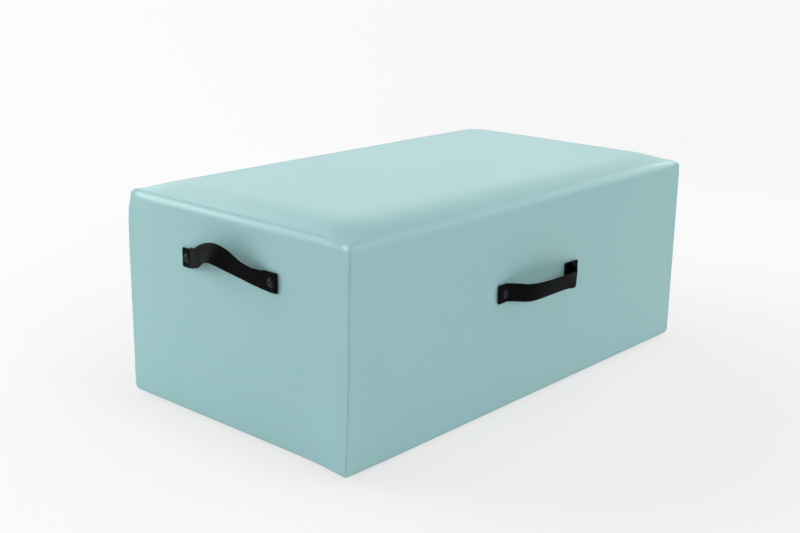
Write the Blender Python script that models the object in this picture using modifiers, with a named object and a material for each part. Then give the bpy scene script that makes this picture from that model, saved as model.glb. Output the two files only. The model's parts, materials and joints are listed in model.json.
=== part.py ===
"""Pilates sitting box: a plywood carcass, padded all round, under a sewn vinyl cover.

Metres, +Z up. The origin is on the floor under the middle of the box, +X runs along the
long side and +Y along the short side. Four webbing grab handles are screwed to the walls,
one on each, and each handle's loop swings up and down about the line of its two ends.
"""

import math
from dataclasses import dataclass

import bmesh
import bpy
from mathutils import Matrix, Vector

# Overall size of the covered box, without the handles
BOX_LENGTH = 0.700
BOX_WIDTH = 0.395
BOX_HEIGHT = 0.2835
SIDE_SWELL = 0.0010

# The top's rise from its edges to its middle, how far in it goes on, and how full it is
TOP_RISE = 0.0137
TOP_RISE_REACH = 0.067
TOP_RISE_FULLNESS = 2.3

# Radii of the covered box
TOP_EDGE_RADIUS = 0.009
CORNER_RADIUS = 0.004
TOP_CORNER_RADIUS = 0.0022
SHARPEST_CORNER = 0.0005

# Layers, from the outside in
GAP = 0.0003
COVER_THICKNESS = 0.0012
HEM_WIDTH = 0.030
WALL_FOAM = 0.008
PAD_FLAT_BELOW = 0.0005
TOP_FOAM = 0.0355
BOARD = 0.012
DUST_COVER_THICKNESS = 0.001
DUST_COVER_MARGIN = 0.014

# Carcass details
POST_WIDTH = 0.030
BOARD_CHAMFER = 0.0008
BASE_SCREW_RADIUS = 0.0020
BASE_SCREW_LENGTH = 0.038
BASE_SCREW_HEAD_RADIUS = 0.0042
BASE_SCREW_HEAD_DEPTH = 0.0026
BASE_SCREW_SLOT = 0.0010

# Webbing of the grab handles. Half the loop's span on the wall is its foot.
STRAP_WIDTH = 0.024
STRAP_THICKNESS = 0.0013
FOOT = 0.068
FOLD_RADIUS = 0.0022
UNDER_PLY_TAIL = 0.009
SIDE_TAB_BEYOND_SCREW = 0.012
END_TAB_BEYOND_SCREW = 0.0095

# Swing of a loop to each side of straight out, and what is left to the wall there
SWING_LIMIT = 45.0
WALL_MARGIN = 4.5
KNUCKLE_GAP = 0.0005

# How each pair of loops stands: the drop from the box's height to the fold line, the reach
# of its middle beyond the knuckle, the fullness of its arch, and its angle at rest. The
# front one sits a little to the left of its wall's middle.
SIDE_HANDLE_DROP = 0.1230
FRONT_HANDLE_SHIFT = -0.0038
SIDE_LOOP_REACH = 0.0105
SIDE_LOOP_FULLNESS = 6.0
SIDE_LOOP_REST = -5.0
END_HANDLE_DROP = 0.0770
END_LOOP_REACH = 0.0175
END_LOOP_FULLNESS = 3.0
END_LOOP_BELOW_LIMIT = 5.0

# Handle fasteners
SCREW_RADIUS = 0.0024
SCREW_HEAD_RADIUS = 0.00475
SCREW_HEAD_HEIGHT = 0.0018
SCREW_HEAD_RIM = 0.0005
SOCKET_WIDTH = 0.0032
SOCKET_DEPTH = 0.0012
SCREW_BEYOND_NUT = 0.002
WASHER_RADIUS = 0.0060
WASHER_THICKNESS = 0.0006
WASHER_TO_FOLD = 0.0005
NUT_WALL = 0.0007
NUT_SHORT_OF_BOARD = 0.003
NUT_FLANGE_WIDTH = 0.0051
NUT_FLANGE_THICKNESS = 0.0012
THREAD_CLEARANCE = 0.0003
BORE_CLEARANCE = 0.0004

# Fineness of the round and soft shapes
CORNER_STEPS = 2
LONG_SIDE_STEPS = 4
SHORT_SIDE_STEPS = 2
NEAR_CORNER_SHARES = (0.20, 0.50)
BOTTOM_ARC_STEPS = 3
TOP_ARC_STEPS = 5
WALL_STEPS = 3
TOP_RISE_STEPS = 4
TURN_STEPS = 16
DOME_STEPS = 4
FOLD_STEPS = 4
LEG_STEPS = 4
LOOP_STEPS = 20
ARCH_TRACK_STEPS = 400
KNUCKLE_SEGMENTS = 48
MERGE_DISTANCE = 0.00001
CUTTER_REACH = 0.010
SHARP_ANGLE = 35.0

# Places that follow from the sizes above
HALF_LENGTH = BOX_LENGTH / 2
HALF_WIDTH = BOX_WIDTH / 2
EDGE_HEIGHT = BOX_HEIGHT - TOP_RISE
WALL_HEIGHT = EDGE_HEIGHT - TOP_EDGE_RADIUS
COVER_BOTTOM = DUST_COVER_THICKNESS + GAP
FOAM_OFFSET = COVER_THICKNESS + GAP
CARCASS_OFFSET = FOAM_OFFSET + WALL_FOAM + GAP
BOTTOM_EDGE_RADIUS = FOAM_OFFSET + WALL_FOAM - PAD_FLAT_BELOW
BASE_BOTTOM = COVER_BOTTOM + COVER_THICKNESS + GAP
BASE_TOP = BASE_BOTTOM + BOARD
TOP_FOAM_BOTTOM = BOX_HEIGHT - FOAM_OFFSET - TOP_FOAM
TOP_BOARD_TOP = TOP_FOAM_BOTTOM - GAP
TOP_BOARD_BOTTOM = TOP_BOARD_TOP - BOARD
WALL_BOTTOM = BASE_TOP + GAP
WALL_TOP = TOP_BOARD_BOTTOM - GAP
CARCASS_X = HALF_LENGTH - CARCASS_OFFSET
CARCASS_Y = HALF_WIDTH - CARCASS_OFFSET
INSIDE_X = CARCASS_X - BOARD - GAP
INSIDE_Y = CARCASS_Y - BOARD - GAP

# Distances out from the cover, along a handle's fasteners
UNDER_PLY = GAP + STRAP_THICKNESS / 2
UPPER_PLY = UNDER_PLY + STRAP_THICKNESS + GAP
WASHER_SEAT = UPPER_PLY + STRAP_THICKNESS / 2 + GAP
HEAD_SEAT = WASHER_SEAT + WASHER_THICKNESS + GAP

# Distances along the wall from a handle's middle
SCREW_STATION = FOOT + WASHER_TO_FOLD + WASHER_RADIUS
TAB_INNER_END = FOOT - UNDER_PLY_TAIL

# Radii of the holes, and of the nut that the screw goes into
THREAD_BORE_RADIUS = SCREW_RADIUS + THREAD_CLEARANCE
SCREW_BORE_RADIUS = SCREW_RADIUS + BORE_CLEARANCE
NUT_BARREL_RADIUS = THREAD_BORE_RADIUS + NUT_WALL
NUT_BORE_RADIUS = NUT_BARREL_RADIUS + BORE_CLEARANCE

# A loop turns clear of its two ends outside this radius about the fold line, and of the
# wall up to its limit
KNUCKLE_RADIUS = STRAP_WIDTH / 2 / math.sin(math.radians(90 - SWING_LIMIT - WALL_MARGIN))
LEG_CUT_START = KNUCKLE_RADIUS / 2
LEG_CUT_END = KNUCKLE_RADIUS + STRAP_THICKNESS

# Colour, roughness and metallic value of each material
MATERIALS = {
    "teal_vinyl": ((0.33, 0.55, 0.56, 1.0), 0.38, 0.0),
    "foam": ((0.80, 0.77, 0.62, 1.0), 0.95, 0.0),
    "plywood": ((0.62, 0.46, 0.28, 1.0), 0.70, 0.0),
    "pine": ((0.72, 0.55, 0.34, 1.0), 0.70, 0.0),
    "dust_cloth": ((0.02, 0.02, 0.02, 1.0), 0.95, 0.0),
    "black_webbing": ((0.012, 0.013, 0.014, 1.0), 0.60, 0.0),
    "black_steel": ((0.05, 0.05, 0.05, 1.0), 0.35, 1.0),
    "zinc_steel": ((0.62, 0.63, 0.64, 1.0), 0.35, 1.0),
}


@dataclass(frozen=True)
class Wall:
    """One wall of the box and the handle on it."""

    name: str
    turn: float
    distance: float
    half_run: float
    shift: float
    tab_beyond_screw: float
    handle_height: float
    rise: float
    fullness: float
    rest: float

    @property
    def tab_end(self):
        """Where the handle's doubled ends end, along the wall from the handle's middle."""
        return SCREW_STATION + self.tab_beyond_screw

    @property
    def frame_distance(self):
        """How far the cover's surface stands from the middle where the handle sits on it."""
        levels = (self.handle_height - STRAP_WIDTH / 2, self.handle_height + STRAP_WIDTH / 2)
        along = (TAB_INNER_END - abs(self.shift)) / self.half_run
        return self.distance + max(wall_swell(along, share_of_wall(level)) for level in levels)

    @property
    def nut_seat(self):
        """Where the nut's flange lies on the board's inner face, counted out of the cover."""
        return self.distance - self.frame_distance - CARCASS_OFFSET - BOARD - GAP


def clear_scene():
    """Remove every object that is in the file."""
    for item in list(bpy.data.objects):
        bpy.data.objects.remove(item, do_unlink=True)


def make_collection(name):
    """Make a collection and link it to the scene."""
    collection = bpy.data.collections.new(name)
    bpy.context.scene.collection.children.link(collection)
    return collection


def make_material(name):
    """Make one of the materials above, as a Principled BSDF."""
    colour, roughness, metallic = MATERIALS[name]
    material = bpy.data.materials.new(name)
    material.use_nodes = True
    shader = material.node_tree.nodes["Principled BSDF"]
    shader.inputs["Base Color"].default_value = colour
    shader.inputs["Roughness"].default_value = roughness
    shader.inputs["Metallic"].default_value = metallic
    material.diffuse_color = colour
    return material


def add_object(name, mesh, material_name, parent=None):
    """Put a mesh in the box's collection under its name, with its own material."""
    item = bpy.data.objects.new(name, mesh)
    PARTS.objects.link(item)
    material = make_material(material_name)
    material.name = f"{name}_{material_name}"
    mesh.materials.append(material)
    item.parent = parent
    return item


def add_cutter(name, mesh, parent=None):
    """Put a mesh in the cutters' collection, hidden from the finished object."""
    item = bpy.data.objects.new(name, mesh)
    CUTTERS.objects.link(item)
    item.hide_render = True
    item.display_type = "WIRE"
    item.parent = parent
    return item


def finish_mesh(name, work):
    """Turn a bmesh into a mesh and free it."""
    bmesh.ops.recalc_face_normals(work, faces=work.faces)
    mesh = bpy.data.meshes.new(name)
    work.to_mesh(mesh)
    work.free()
    return mesh


def make_smooth_shading():
    """Nodes that shade a mesh smooth, save at the edges sharper than the sharp angle."""
    group = bpy.data.node_groups.new("smooth_by_angle", "GeometryNodeTree")
    group.interface.new_socket("Geometry", in_out="INPUT", socket_type="NodeSocketGeometry")
    group.interface.new_socket("Geometry", in_out="OUTPUT", socket_type="NodeSocketGeometry")
    source = group.nodes.new("NodeGroupInput")
    result = group.nodes.new("NodeGroupOutput")
    faces = group.nodes.new("GeometryNodeSetShadeSmooth")
    faces.domain = "FACE"
    edges = group.nodes.new("GeometryNodeSetShadeSmooth")
    edges.domain = "EDGE"
    angle = group.nodes.new("GeometryNodeInputMeshEdgeAngle")
    compare = group.nodes.new("FunctionNodeCompare")
    compare.operation = "LESS_EQUAL"
    compare.inputs["B"].default_value = math.radians(SHARP_ANGLE)
    group.links.new(source.outputs["Geometry"], faces.inputs["Geometry"])
    group.links.new(faces.outputs["Geometry"], edges.inputs["Geometry"])
    group.links.new(angle.outputs["Unsigned Angle"], compare.inputs["A"])
    group.links.new(compare.outputs["Result"], edges.inputs["Shade Smooth"])
    group.links.new(edges.outputs["Geometry"], result.inputs["Geometry"])
    return group


def shade_smooth(item):
    """Shade a round or soft piece smooth, as its last modifier."""
    shading = item.modifiers.new("smooth_by_angle", "NODES")
    shading.node_group = SMOOTH_SHADING


def box_mesh(name, size):
    """A box about its own middle."""
    work = bmesh.new()
    bmesh.ops.create_cube(work, size=1.0, matrix=Matrix.Diagonal((*size, 1.0)))
    return finish_mesh(name, work)


def add_box(name, low, high, material_name, chamfer=0.0):
    """A box between two corners, with an optional chamfer on its edges."""
    low = Vector(low)
    high = Vector(high)
    item = add_object(name, box_mesh(name, high - low), material_name)
    item.location = (low + high) / 2
    if chamfer:
        bevel = item.modifiers.new("chamfer", "BEVEL")
        bevel.width = chamfer
        bevel.segments = 1
    return item


def add_box_cutter(name, low, high):
    """A cutter box between two corners."""
    low = Vector(low)
    high = Vector(high)
    cutter = add_cutter(name, box_mesh(name, high - low))
    cutter.location = (low + high) / 2
    return cutter


def cut(item, cutter, operation="DIFFERENCE"):
    """Add a Boolean with the exact solver."""
    modifier = item.modifiers.new(f"{operation.lower()}_{cutter.name}", "BOOLEAN")
    modifier.operation = operation
    modifier.solver = "EXACT"
    modifier.object = cutter


def turned_mesh(name, profile, closed):
    """A profile of (radius, height) points at +X, to be turned about Z."""
    work = bmesh.new()
    points = [work.verts.new((radius, 0.0, height)) for radius, height in profile]
    for first, second in zip(points, points[1:]):
        work.edges.new((first, second))
    if closed:
        work.edges.new((points[-1], points[0]))
    mesh = bpy.data.meshes.new(name)
    work.to_mesh(mesh)
    work.free()
    return mesh


def add_screw_modifier(item):
    """Turn the item's profile once about its Z axis."""
    turn = item.modifiers.new("turn", "SCREW")
    turn.axis = "Z"
    turn.angle = math.tau
    turn.steps = TURN_STEPS
    turn.render_steps = TURN_STEPS
    turn.use_merge_vertices = True
    turn.merge_threshold = MERGE_DISTANCE


def wall_swell(share_along, share_up):
    """How far a wall's cover stands out, 0 at its edges and full in its middle."""
    return SIDE_SWELL * (1 - share_along ** 2) * math.sin(math.pi * min(max(share_up, 0), 1))


def share_of_wall(level):
    """A height over the floor as a share of the flat part of a wall."""
    low = COVER_BOTTOM + BOTTOM_EDGE_RADIUS
    return (level - low) / (WALL_HEIGHT - low)


def box_walls():
    """The four walls, each turned about Z from the front one."""
    side = (SIDE_TAB_BEYOND_SCREW, BOX_HEIGHT - SIDE_HANDLE_DROP,
            KNUCKLE_RADIUS + SIDE_LOOP_REACH, SIDE_LOOP_FULLNESS, SIDE_LOOP_REST)
    end = (END_TAB_BEYOND_SCREW, BOX_HEIGHT - END_HANDLE_DROP,
           KNUCKLE_RADIUS + END_LOOP_REACH, END_LOOP_FULLNESS,
           SWING_LIMIT - END_LOOP_BELOW_LIMIT)
    return (Wall("front", 0, HALF_WIDTH, HALF_LENGTH, FRONT_HANDLE_SHIFT, *side),
            Wall("right", 90, HALF_LENGTH, HALF_WIDTH, 0, *end),
            Wall("back", 180, HALF_WIDTH, HALF_LENGTH, 0, *side),
            Wall("left", 270, HALF_LENGTH, HALF_WIDTH, 0, *end))


def side_shares(along_x):
    """Where a side is divided, from 1 at its start to -1 at its end.

    The corners' neighbourhood is divided at fixed distances, and the middle evenly.
    """
    half_run = HALF_LENGTH if along_x else HALF_WIDTH
    steps = LONG_SIDE_STEPS if along_x else SHORT_SIDE_STEPS
    near = [1 - TOP_RISE_REACH * share / half_run for share in NEAR_CORNER_SHARES]
    inner = 1 - TOP_RISE_REACH / half_run
    middle = [inner * (1 - 2 * step / steps) for step in range(steps + 1)]
    return near + middle + [-share for share in reversed(near)]


def box_ring(inset, offset, corner_radius, share_up):
    """One level outline of the covered box, as (x, y) points in order round it.

    The outline lies inset + offset inside the box's walls. Its corners are arcs, and its
    sides stand out by the walls' swell.
    """
    half_x = HALF_LENGTH - offset - inset
    half_y = HALF_WIDTH - offset - inset
    radius = max(corner_radius - offset / 2, SHARPEST_CORNER)
    points = []
    corners = ((1, 1, 0), (-1, 1, 90), (-1, -1, 180), (1, -1, 270))
    for index, (sign_x, sign_y, start) in enumerate(corners):
        for step in range(CORNER_STEPS + 1):
            angle = math.radians(start + 90 * step / CORNER_STEPS)
            points.append((sign_x * (half_x - radius) + radius * math.cos(angle),
                           sign_y * (half_y - radius) + radius * math.sin(angle)))
        along_x = index % 2 == 0
        reach = (half_x if along_x else half_y) - radius
        for share in side_shares(along_x):
            swell = wall_swell(share, share_up)
            if along_x:
                points.append((sign_x * share * reach, sign_y * (half_y + swell)))
            else:
                points.append((sign_x * (half_x + swell), sign_y * share * reach))
    return points


def rise_share(distance):
    """How much of the top's rise a place has, by its distance inside one wall."""
    left = 1 - min(max(distance / TOP_RISE_REACH, 0), 1)
    return 1 - left ** TOP_RISE_FULLNESS


def top_rise(x, y, offset):
    """How far the pillowed top stands over its edges at a place."""
    return (TOP_RISE * rise_share(HALF_LENGTH - offset - abs(x))
            * rise_share(HALF_WIDTH - offset - abs(y)))


def box_rings(offset, closed_bottom):
    """The covered box's outlines from its underside to its top, as lists of points.

    With offset 0 they lie on the cover's outer face, and with a larger one inside it.
    """
    rings = []
    bottom = COVER_BOTTOM + offset
    bottom_radius = BOTTOM_EDGE_RADIUS - offset
    top_radius = TOP_EDGE_RADIUS - offset
    wall_low = bottom + bottom_radius
    if not closed_bottom:
        hem = box_ring(BOTTOM_EDGE_RADIUS + HEM_WIDTH, offset, CORNER_RADIUS, 0)
        rings.append([(x, y, bottom) for x, y in hem])
    for step in range(BOTTOM_ARC_STEPS + 1):
        angle = math.radians(90 * step / BOTTOM_ARC_STEPS)
        level = wall_low - bottom_radius * math.cos(angle)
        ring = box_ring(bottom_radius * (1 - math.sin(angle)), offset, CORNER_RADIUS, 0)
        rings.append([(x, y, level) for x, y in ring])
    for step in range(1, WALL_STEPS):
        share = step / WALL_STEPS
        level = wall_low + share * (WALL_HEIGHT - wall_low)
        ring = box_ring(0, offset, CORNER_RADIUS, share)
        rings.append([(x, y, level) for x, y in ring])
    for step in range(TOP_ARC_STEPS + 1):
        angle = math.radians(90 * step / TOP_ARC_STEPS)
        level = WALL_HEIGHT + top_radius * math.sin(angle)
        blend = math.sin(angle)
        corner = CORNER_RADIUS + (TOP_CORNER_RADIUS - CORNER_RADIUS) * blend
        ring = box_ring(top_radius * (1 - math.cos(angle)), offset, corner, 0)
        rings.append([(x, y, level + top_rise(x, y, offset)) for x, y in ring])
    level = EDGE_HEIGHT - offset
    for step in range(1, TOP_RISE_STEPS + 1):
        inset = top_radius + (TOP_RISE_REACH - top_radius) * step / TOP_RISE_STEPS
        ring = box_ring(inset, offset, TOP_CORNER_RADIUS, 0)
        rings.append([(x, y, level + top_rise(x, y, offset)) for x, y in ring])
    return rings


def cap_ring(work, ring, centre):
    """Close a ring of vertices with a fan to one centre vertex."""
    hub = work.verts.new(centre)
    for index, vertex in enumerate(ring):
        work.faces.new((vertex, ring[(index + 1) % len(ring)], hub))


def box_skin_mesh(name, offset, closed_bottom):
    """The covered box's skin: open under the hem, or closed under the padding."""
    work = bmesh.new()
    rings = [[work.verts.new(point) for point in ring]
             for ring in box_rings(offset, closed_bottom)]
    count = len(rings[0])
    for lower, upper in zip(rings, rings[1:]):
        for index in range(count):
            after = (index + 1) % count
            work.faces.new((lower[index], lower[after], upper[after], upper[index]))
    cap_ring(work, rings[-1], (0, 0, BOX_HEIGHT - offset))
    if closed_bottom:
        cap_ring(work, rings[0], (0, 0, COVER_BOTTOM + offset))
    bmesh.ops.triangulate(work, faces=work.faces, quad_method="FIXED")
    bmesh.ops.recalc_face_normals(work, faces=work.faces)
    if not closed_bottom:
        middle = max(work.faces, key=lambda face: face.calc_center_median().z)
        if middle.normal.z < 0:
            bmesh.ops.reverse_faces(work, faces=work.faces)
    mesh = bpy.data.meshes.new(name)
    work.to_mesh(mesh)
    work.free()
    return mesh


def bore_mesh(name, radius, low, high):
    """Two cylinders at a handle's fasteners, running out from a wall like its screws."""
    work = bmesh.new()
    for side in (-1, 1):
        place = (Matrix.Translation((side * SCREW_STATION, -(low + high) / 2, 0))
                 @ Matrix.Rotation(math.radians(90), 4, "X"))
        bmesh.ops.create_cone(work, cap_ends=True, segments=TURN_STEPS, radius1=radius,
                              radius2=radius, depth=high - low, matrix=place)
    return finish_mesh(name, work)


def add_wall_frames(walls):
    """One empty on each wall, on its handle's fold line: local +X along it, -Y out."""
    frames = {}
    for wall in walls:
        spin = Matrix.Rotation(math.radians(wall.turn), 4, "Z")
        frame = bpy.data.objects.new(f"{wall.name}_handle_frame", None)
        PARTS.objects.link(frame)
        frame.matrix_world = spin @ Matrix.Translation(
            (wall.shift, -wall.frame_distance, wall.handle_height))
        frames[wall.name] = frame
    return frames


def add_bores(walls, frames):
    """The cutters of each wall: screw bores through its soft layers, nut bores in its board."""
    bores = {}
    for wall in walls:
        frame = frames[wall.name]
        board_inside = wall.nut_seat + GAP
        board_outside = board_inside + BOARD
        soft = bore_mesh(f"{wall.name}_screw_bores", SCREW_BORE_RADIUS,
                         board_outside - GAP, HEAD_SEAT + CUTTER_REACH)
        hard = bore_mesh(f"{wall.name}_nut_bores", NUT_BORE_RADIUS,
                         board_inside - CUTTER_REACH, board_outside + GAP / 2)
        bores[wall.name] = (add_cutter(soft.name, soft, frame),
                            add_cutter(hard.name, hard, frame))
    return bores


def add_cover(bores):
    """The sewn vinyl cover, turned in under the base as a hem."""
    mesh = box_skin_mesh("cover", 0.0, closed_bottom=False)
    cover = add_object("cover", mesh, "teal_vinyl")
    shell = cover.modifiers.new("vinyl", "SOLIDIFY")
    shell.thickness = COVER_THICKNESS
    shell.offset = -1.0
    shell.use_even_offset = True
    for soft, _ in bores.values():
        cut(cover, soft)
    shade_smooth(cover)


def add_padding(bores):
    """The top pad and the four wall pads, cut from one block that fills the cover."""
    block_x = HALF_LENGTH + CUTTER_REACH
    block_y = HALF_WIDTH + CUTTER_REACH
    block_top = BOX_HEIGHT + CUTTER_REACH
    inner_x = HALF_LENGTH - FOAM_OFFSET - WALL_FOAM
    inner_y = HALF_WIDTH - FOAM_OFFSET - WALL_FOAM
    butt_y = inner_y - GAP
    blocks = {
        "top": ((-block_x, -block_y, TOP_FOAM_BOTTOM), (block_x, block_y, block_top)),
        "front": ((-block_x, -block_y, -CUTTER_REACH), (block_x, -inner_y, TOP_BOARD_TOP)),
        "back": ((-block_x, inner_y, -CUTTER_REACH), (block_x, block_y, TOP_BOARD_TOP)),
        "left": ((-block_x, -butt_y, -CUTTER_REACH), (-inner_x, butt_y, TOP_BOARD_TOP)),
        "right": ((inner_x, -butt_y, -CUTTER_REACH), (block_x, butt_y, TOP_BOARD_TOP)),
    }
    for side, (low, high) in blocks.items():
        mesh = box_skin_mesh(f"{side}_foam", FOAM_OFFSET, closed_bottom=True)
        pad = add_object(f"{side}_foam", mesh, "foam")
        cut(pad, add_box_cutter(f"{side}_foam_block", low, high), "INTERSECT")
        if side in bores:
            cut(pad, bores[side][0])
        shade_smooth(pad)


def add_carcass(bores):
    """The plywood box: base, four walls, top, a middle rib and four corner posts."""
    base = add_box("base_board", (-CARCASS_X, -CARCASS_Y, BASE_BOTTOM),
                   (CARCASS_X, CARCASS_Y, BASE_TOP), "plywood", BOARD_CHAMFER)
    add_box("top_board", (-CARCASS_X, -CARCASS_Y, TOP_BOARD_BOTTOM),
            (CARCASS_X, CARCASS_Y, TOP_BOARD_TOP), "plywood", BOARD_CHAMFER)
    side_y = CARCASS_Y - BOARD
    end_x = CARCASS_X - BOARD
    walls = {
        "front": ((-CARCASS_X, -CARCASS_Y, WALL_BOTTOM), (CARCASS_X, -side_y, WALL_TOP)),
        "back": ((-CARCASS_X, side_y, WALL_BOTTOM), (CARCASS_X, CARCASS_Y, WALL_TOP)),
        "left": ((-CARCASS_X, -INSIDE_Y, WALL_BOTTOM), (-end_x, INSIDE_Y, WALL_TOP)),
        "right": ((end_x, -INSIDE_Y, WALL_BOTTOM), (CARCASS_X, INSIDE_Y, WALL_TOP)),
    }
    for wall, (low, high) in walls.items():
        board = add_box(f"{wall}_board", low, high, "plywood", BOARD_CHAMFER)
        cut(board, bores[wall][1])
    add_box("centre_rib", (-BOARD / 2, -INSIDE_Y, WALL_BOTTOM),
            (BOARD / 2, INSIDE_Y, WALL_TOP), "plywood", BOARD_CHAMFER)
    add_posts(base)


def add_posts(base):
    """A post in each corner, with a countersunk screw up into it through the base."""
    for row, sign_y in (("front", -1), ("back", 1)):
        for side, sign_x in (("left", -1), ("right", 1)):
            outer = Vector((sign_x * INSIDE_X, sign_y * INSIDE_Y))
            inner = outer - Vector((sign_x * POST_WIDTH, sign_y * POST_WIDTH))
            low = (min(outer.x, inner.x), min(outer.y, inner.y), WALL_BOTTOM)
            high = (max(outer.x, inner.x), max(outer.y, inner.y), WALL_TOP)
            post = add_box(f"{row}_{side}_post", low, high, "pine", BOARD_CHAMFER)
            middle = (outer + inner) / 2
            add_base_screw(f"{row}_{side}", (middle.x, middle.y, BASE_BOTTOM), base, post)


def base_screw_profile(clearance, reach_below):
    """Outline of a countersunk screw pointing up, from its tip to the base's underside.

    A clearance makes the outline of its hole, which reaches on below the base.
    """
    tip = BASE_SCREW_LENGTH + clearance
    shank = BASE_SCREW_RADIUS + clearance
    head = BASE_SCREW_HEAD_RADIUS + clearance
    neck = GAP + BASE_SCREW_HEAD_DEPTH
    outline = [(0, tip), (shank / 2, tip - shank), (shank, tip - 3 * shank), (shank, neck),
               (head, GAP)]
    if reach_below:
        outline.append((head, -reach_below))
    outline.append((0, outline[-1][1]))
    return outline


def add_base_screw(corner, place, base, post):
    """One countersunk wood screw, its slot, and its hole through the base into a post."""
    mesh = turned_mesh(f"{corner}_base_screw", base_screw_profile(0.0, 0.0), closed=False)
    screw = add_object(mesh.name, mesh, "zinc_steel")
    screw.location = place
    add_screw_modifier(screw)
    slot_length = BASE_SCREW_HEAD_RADIUS * 2 + CUTTER_REACH
    slot_mesh = box_mesh(f"{corner}_base_screw_slot",
                         (slot_length, BASE_SCREW_SLOT, 2 * BASE_SCREW_SLOT))
    slot = add_cutter(slot_mesh.name, slot_mesh)
    slot.location = Vector(place) + Vector((0, 0, GAP))
    cut(screw, slot)
    shade_smooth(screw)
    hole_mesh = turned_mesh(f"{corner}_base_screw_hole",
                            base_screw_profile(THREAD_CLEARANCE, CUTTER_REACH), closed=False)
    hole = add_cutter(hole_mesh.name, hole_mesh)
    hole.location = place
    add_screw_modifier(hole)
    cut(base, hole)
    cut(post, hole)


def add_dust_cover():
    """The sheet under the base that hides the hem's raw edge, and that the box stands on."""
    reach_x = HALF_LENGTH - DUST_COVER_MARGIN
    reach_y = HALF_WIDTH - DUST_COVER_MARGIN
    add_box("dust_cover", (-reach_x, -reach_y, 0),
            (reach_x, reach_y, DUST_COVER_THICKNESS), "dust_cloth")


def arch_height(station, rise, fullness):
    """How far a loop's webbing stands out from its fold line at a place along the wall."""
    return rise * (1 - abs(station / FOOT) ** fullness)


def arch_station(height, rise, fullness):
    """The place along the wall where a loop's webbing stands out by a height."""
    return FOOT * (1 - height / rise) ** (1 / fullness)


def strap_mesh(name, path):
    """A strap's middle surface along a path of (station, out) points.

    Local +X runs along the wall, -Y out of it and +Z up across the webbing.
    """
    work = bmesh.new()
    low, high = -STRAP_WIDTH / 2, STRAP_WIDTH / 2
    rows = [(work.verts.new((station, -out, low)), work.verts.new((station, -out, high)))
            for station, out in path]
    for (low_here, high_here), (low_next, high_next) in zip(rows, rows[1:]):
        work.faces.new((low_here, high_here, high_next, low_next))
    return finish_mesh(name, work)


def thicken_strap(item):
    """Give a strap's middle surface the webbing's thickness, half to each side."""
    shell = item.modifiers.new("webbing", "SOLIDIFY")
    shell.thickness = STRAP_THICKNESS
    shell.offset = 0.0
    shell.use_even_offset = True


def knuckle_mesh(name, radius, tab_end):
    """A cylinder along a handle's fold line, which the ends of its straps are cut to."""
    work = bmesh.new()
    bmesh.ops.create_cone(work, cap_ends=True, segments=KNUCKLE_SEGMENTS, radius1=radius,
                          radius2=radius, depth=2 * (tab_end + CUTTER_REACH),
                          matrix=Matrix.Rotation(math.radians(90), 4, "Y"))
    return finish_mesh(name, work)


def add_knuckles(wall, frame):
    """The cutters of a handle: a loop lies outside the first, and its ends inside the other."""
    cutters = []
    for name, radius in (("loop", KNUCKLE_RADIUS), ("tab", KNUCKLE_RADIUS - KNUCKLE_GAP)):
        mesh = knuckle_mesh(f"{wall.name}_{name}_knuckle", radius, wall.tab_end)
        cutter = add_cutter(mesh.name, mesh, frame)
        cutter.location = (0, -UPPER_PLY, 0)
        cutters.append(cutter)
    return cutters


def arch_stations(low, rise, fullness, steps):
    """Stations evenly spaced along a loop's webbing, from one leg at a height to the other."""
    first = arch_station(low, rise, fullness)
    track = [first * (1 - 2 * index / ARCH_TRACK_STEPS) for index in range(ARCH_TRACK_STEPS + 1)]
    lengths = [0.0]
    for before, after in zip(track, track[1:]):
        climb = arch_height(after, rise, fullness) - arch_height(before, rise, fullness)
        lengths.append(lengths[-1] + math.hypot(after - before, climb))
    stations = []
    index = 0
    for step in range(steps + 1):
        goal = lengths[-1] * step / steps
        while index < ARCH_TRACK_STEPS - 1 and lengths[index + 1] < goal:
            index += 1
        share = (goal - lengths[index]) / (lengths[index + 1] - lengths[index])
        stations.append(track[index] + share * (track[index + 1] - track[index]))
    return stations


def add_loop(wall, frame, knuckle):
    """The swinging loop of a handle. Its origin is on the fold line, and it turns about X."""
    path = [(station, arch_height(station, wall.rise, wall.fullness))
            for station in arch_stations(LEG_CUT_START, wall.rise, wall.fullness, LOOP_STEPS)]
    mesh = strap_mesh(f"{wall.name}_handle_loop", path)
    loop = add_object(mesh.name, mesh, "black_webbing", frame)
    loop.location = (0, -UPPER_PLY, 0)
    loop.rotation_euler = (-math.radians(wall.rest), 0, 0)
    thicken_strap(loop)
    cut(loop, knuckle)
    shade_smooth(loop)


def rounded_corner(before, corner, after, radius):
    """Points of an arc that rounds the corner between two straight runs."""
    back = (Vector(before) - Vector(corner)).normalized()
    ahead = (Vector(after) - Vector(corner)).normalized()
    half = back.angle(ahead) / 2
    centre = Vector(corner) + (back + ahead).normalized() * radius / math.sin(half)
    start = Vector(corner) + back * radius / math.tan(half) - centre
    turn = math.pi - 2 * half
    if back.x * ahead.y - back.y * ahead.x > 0:
        turn = -turn
    points = []
    for step in range(FOLD_STEPS + 1):
        angle = turn * step / FOLD_STEPS
        spun = Vector((start.x * math.cos(angle) - start.y * math.sin(angle),
                       start.x * math.sin(angle) + start.y * math.cos(angle)))
        points.append(tuple(centre + spun))
    return points


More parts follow.
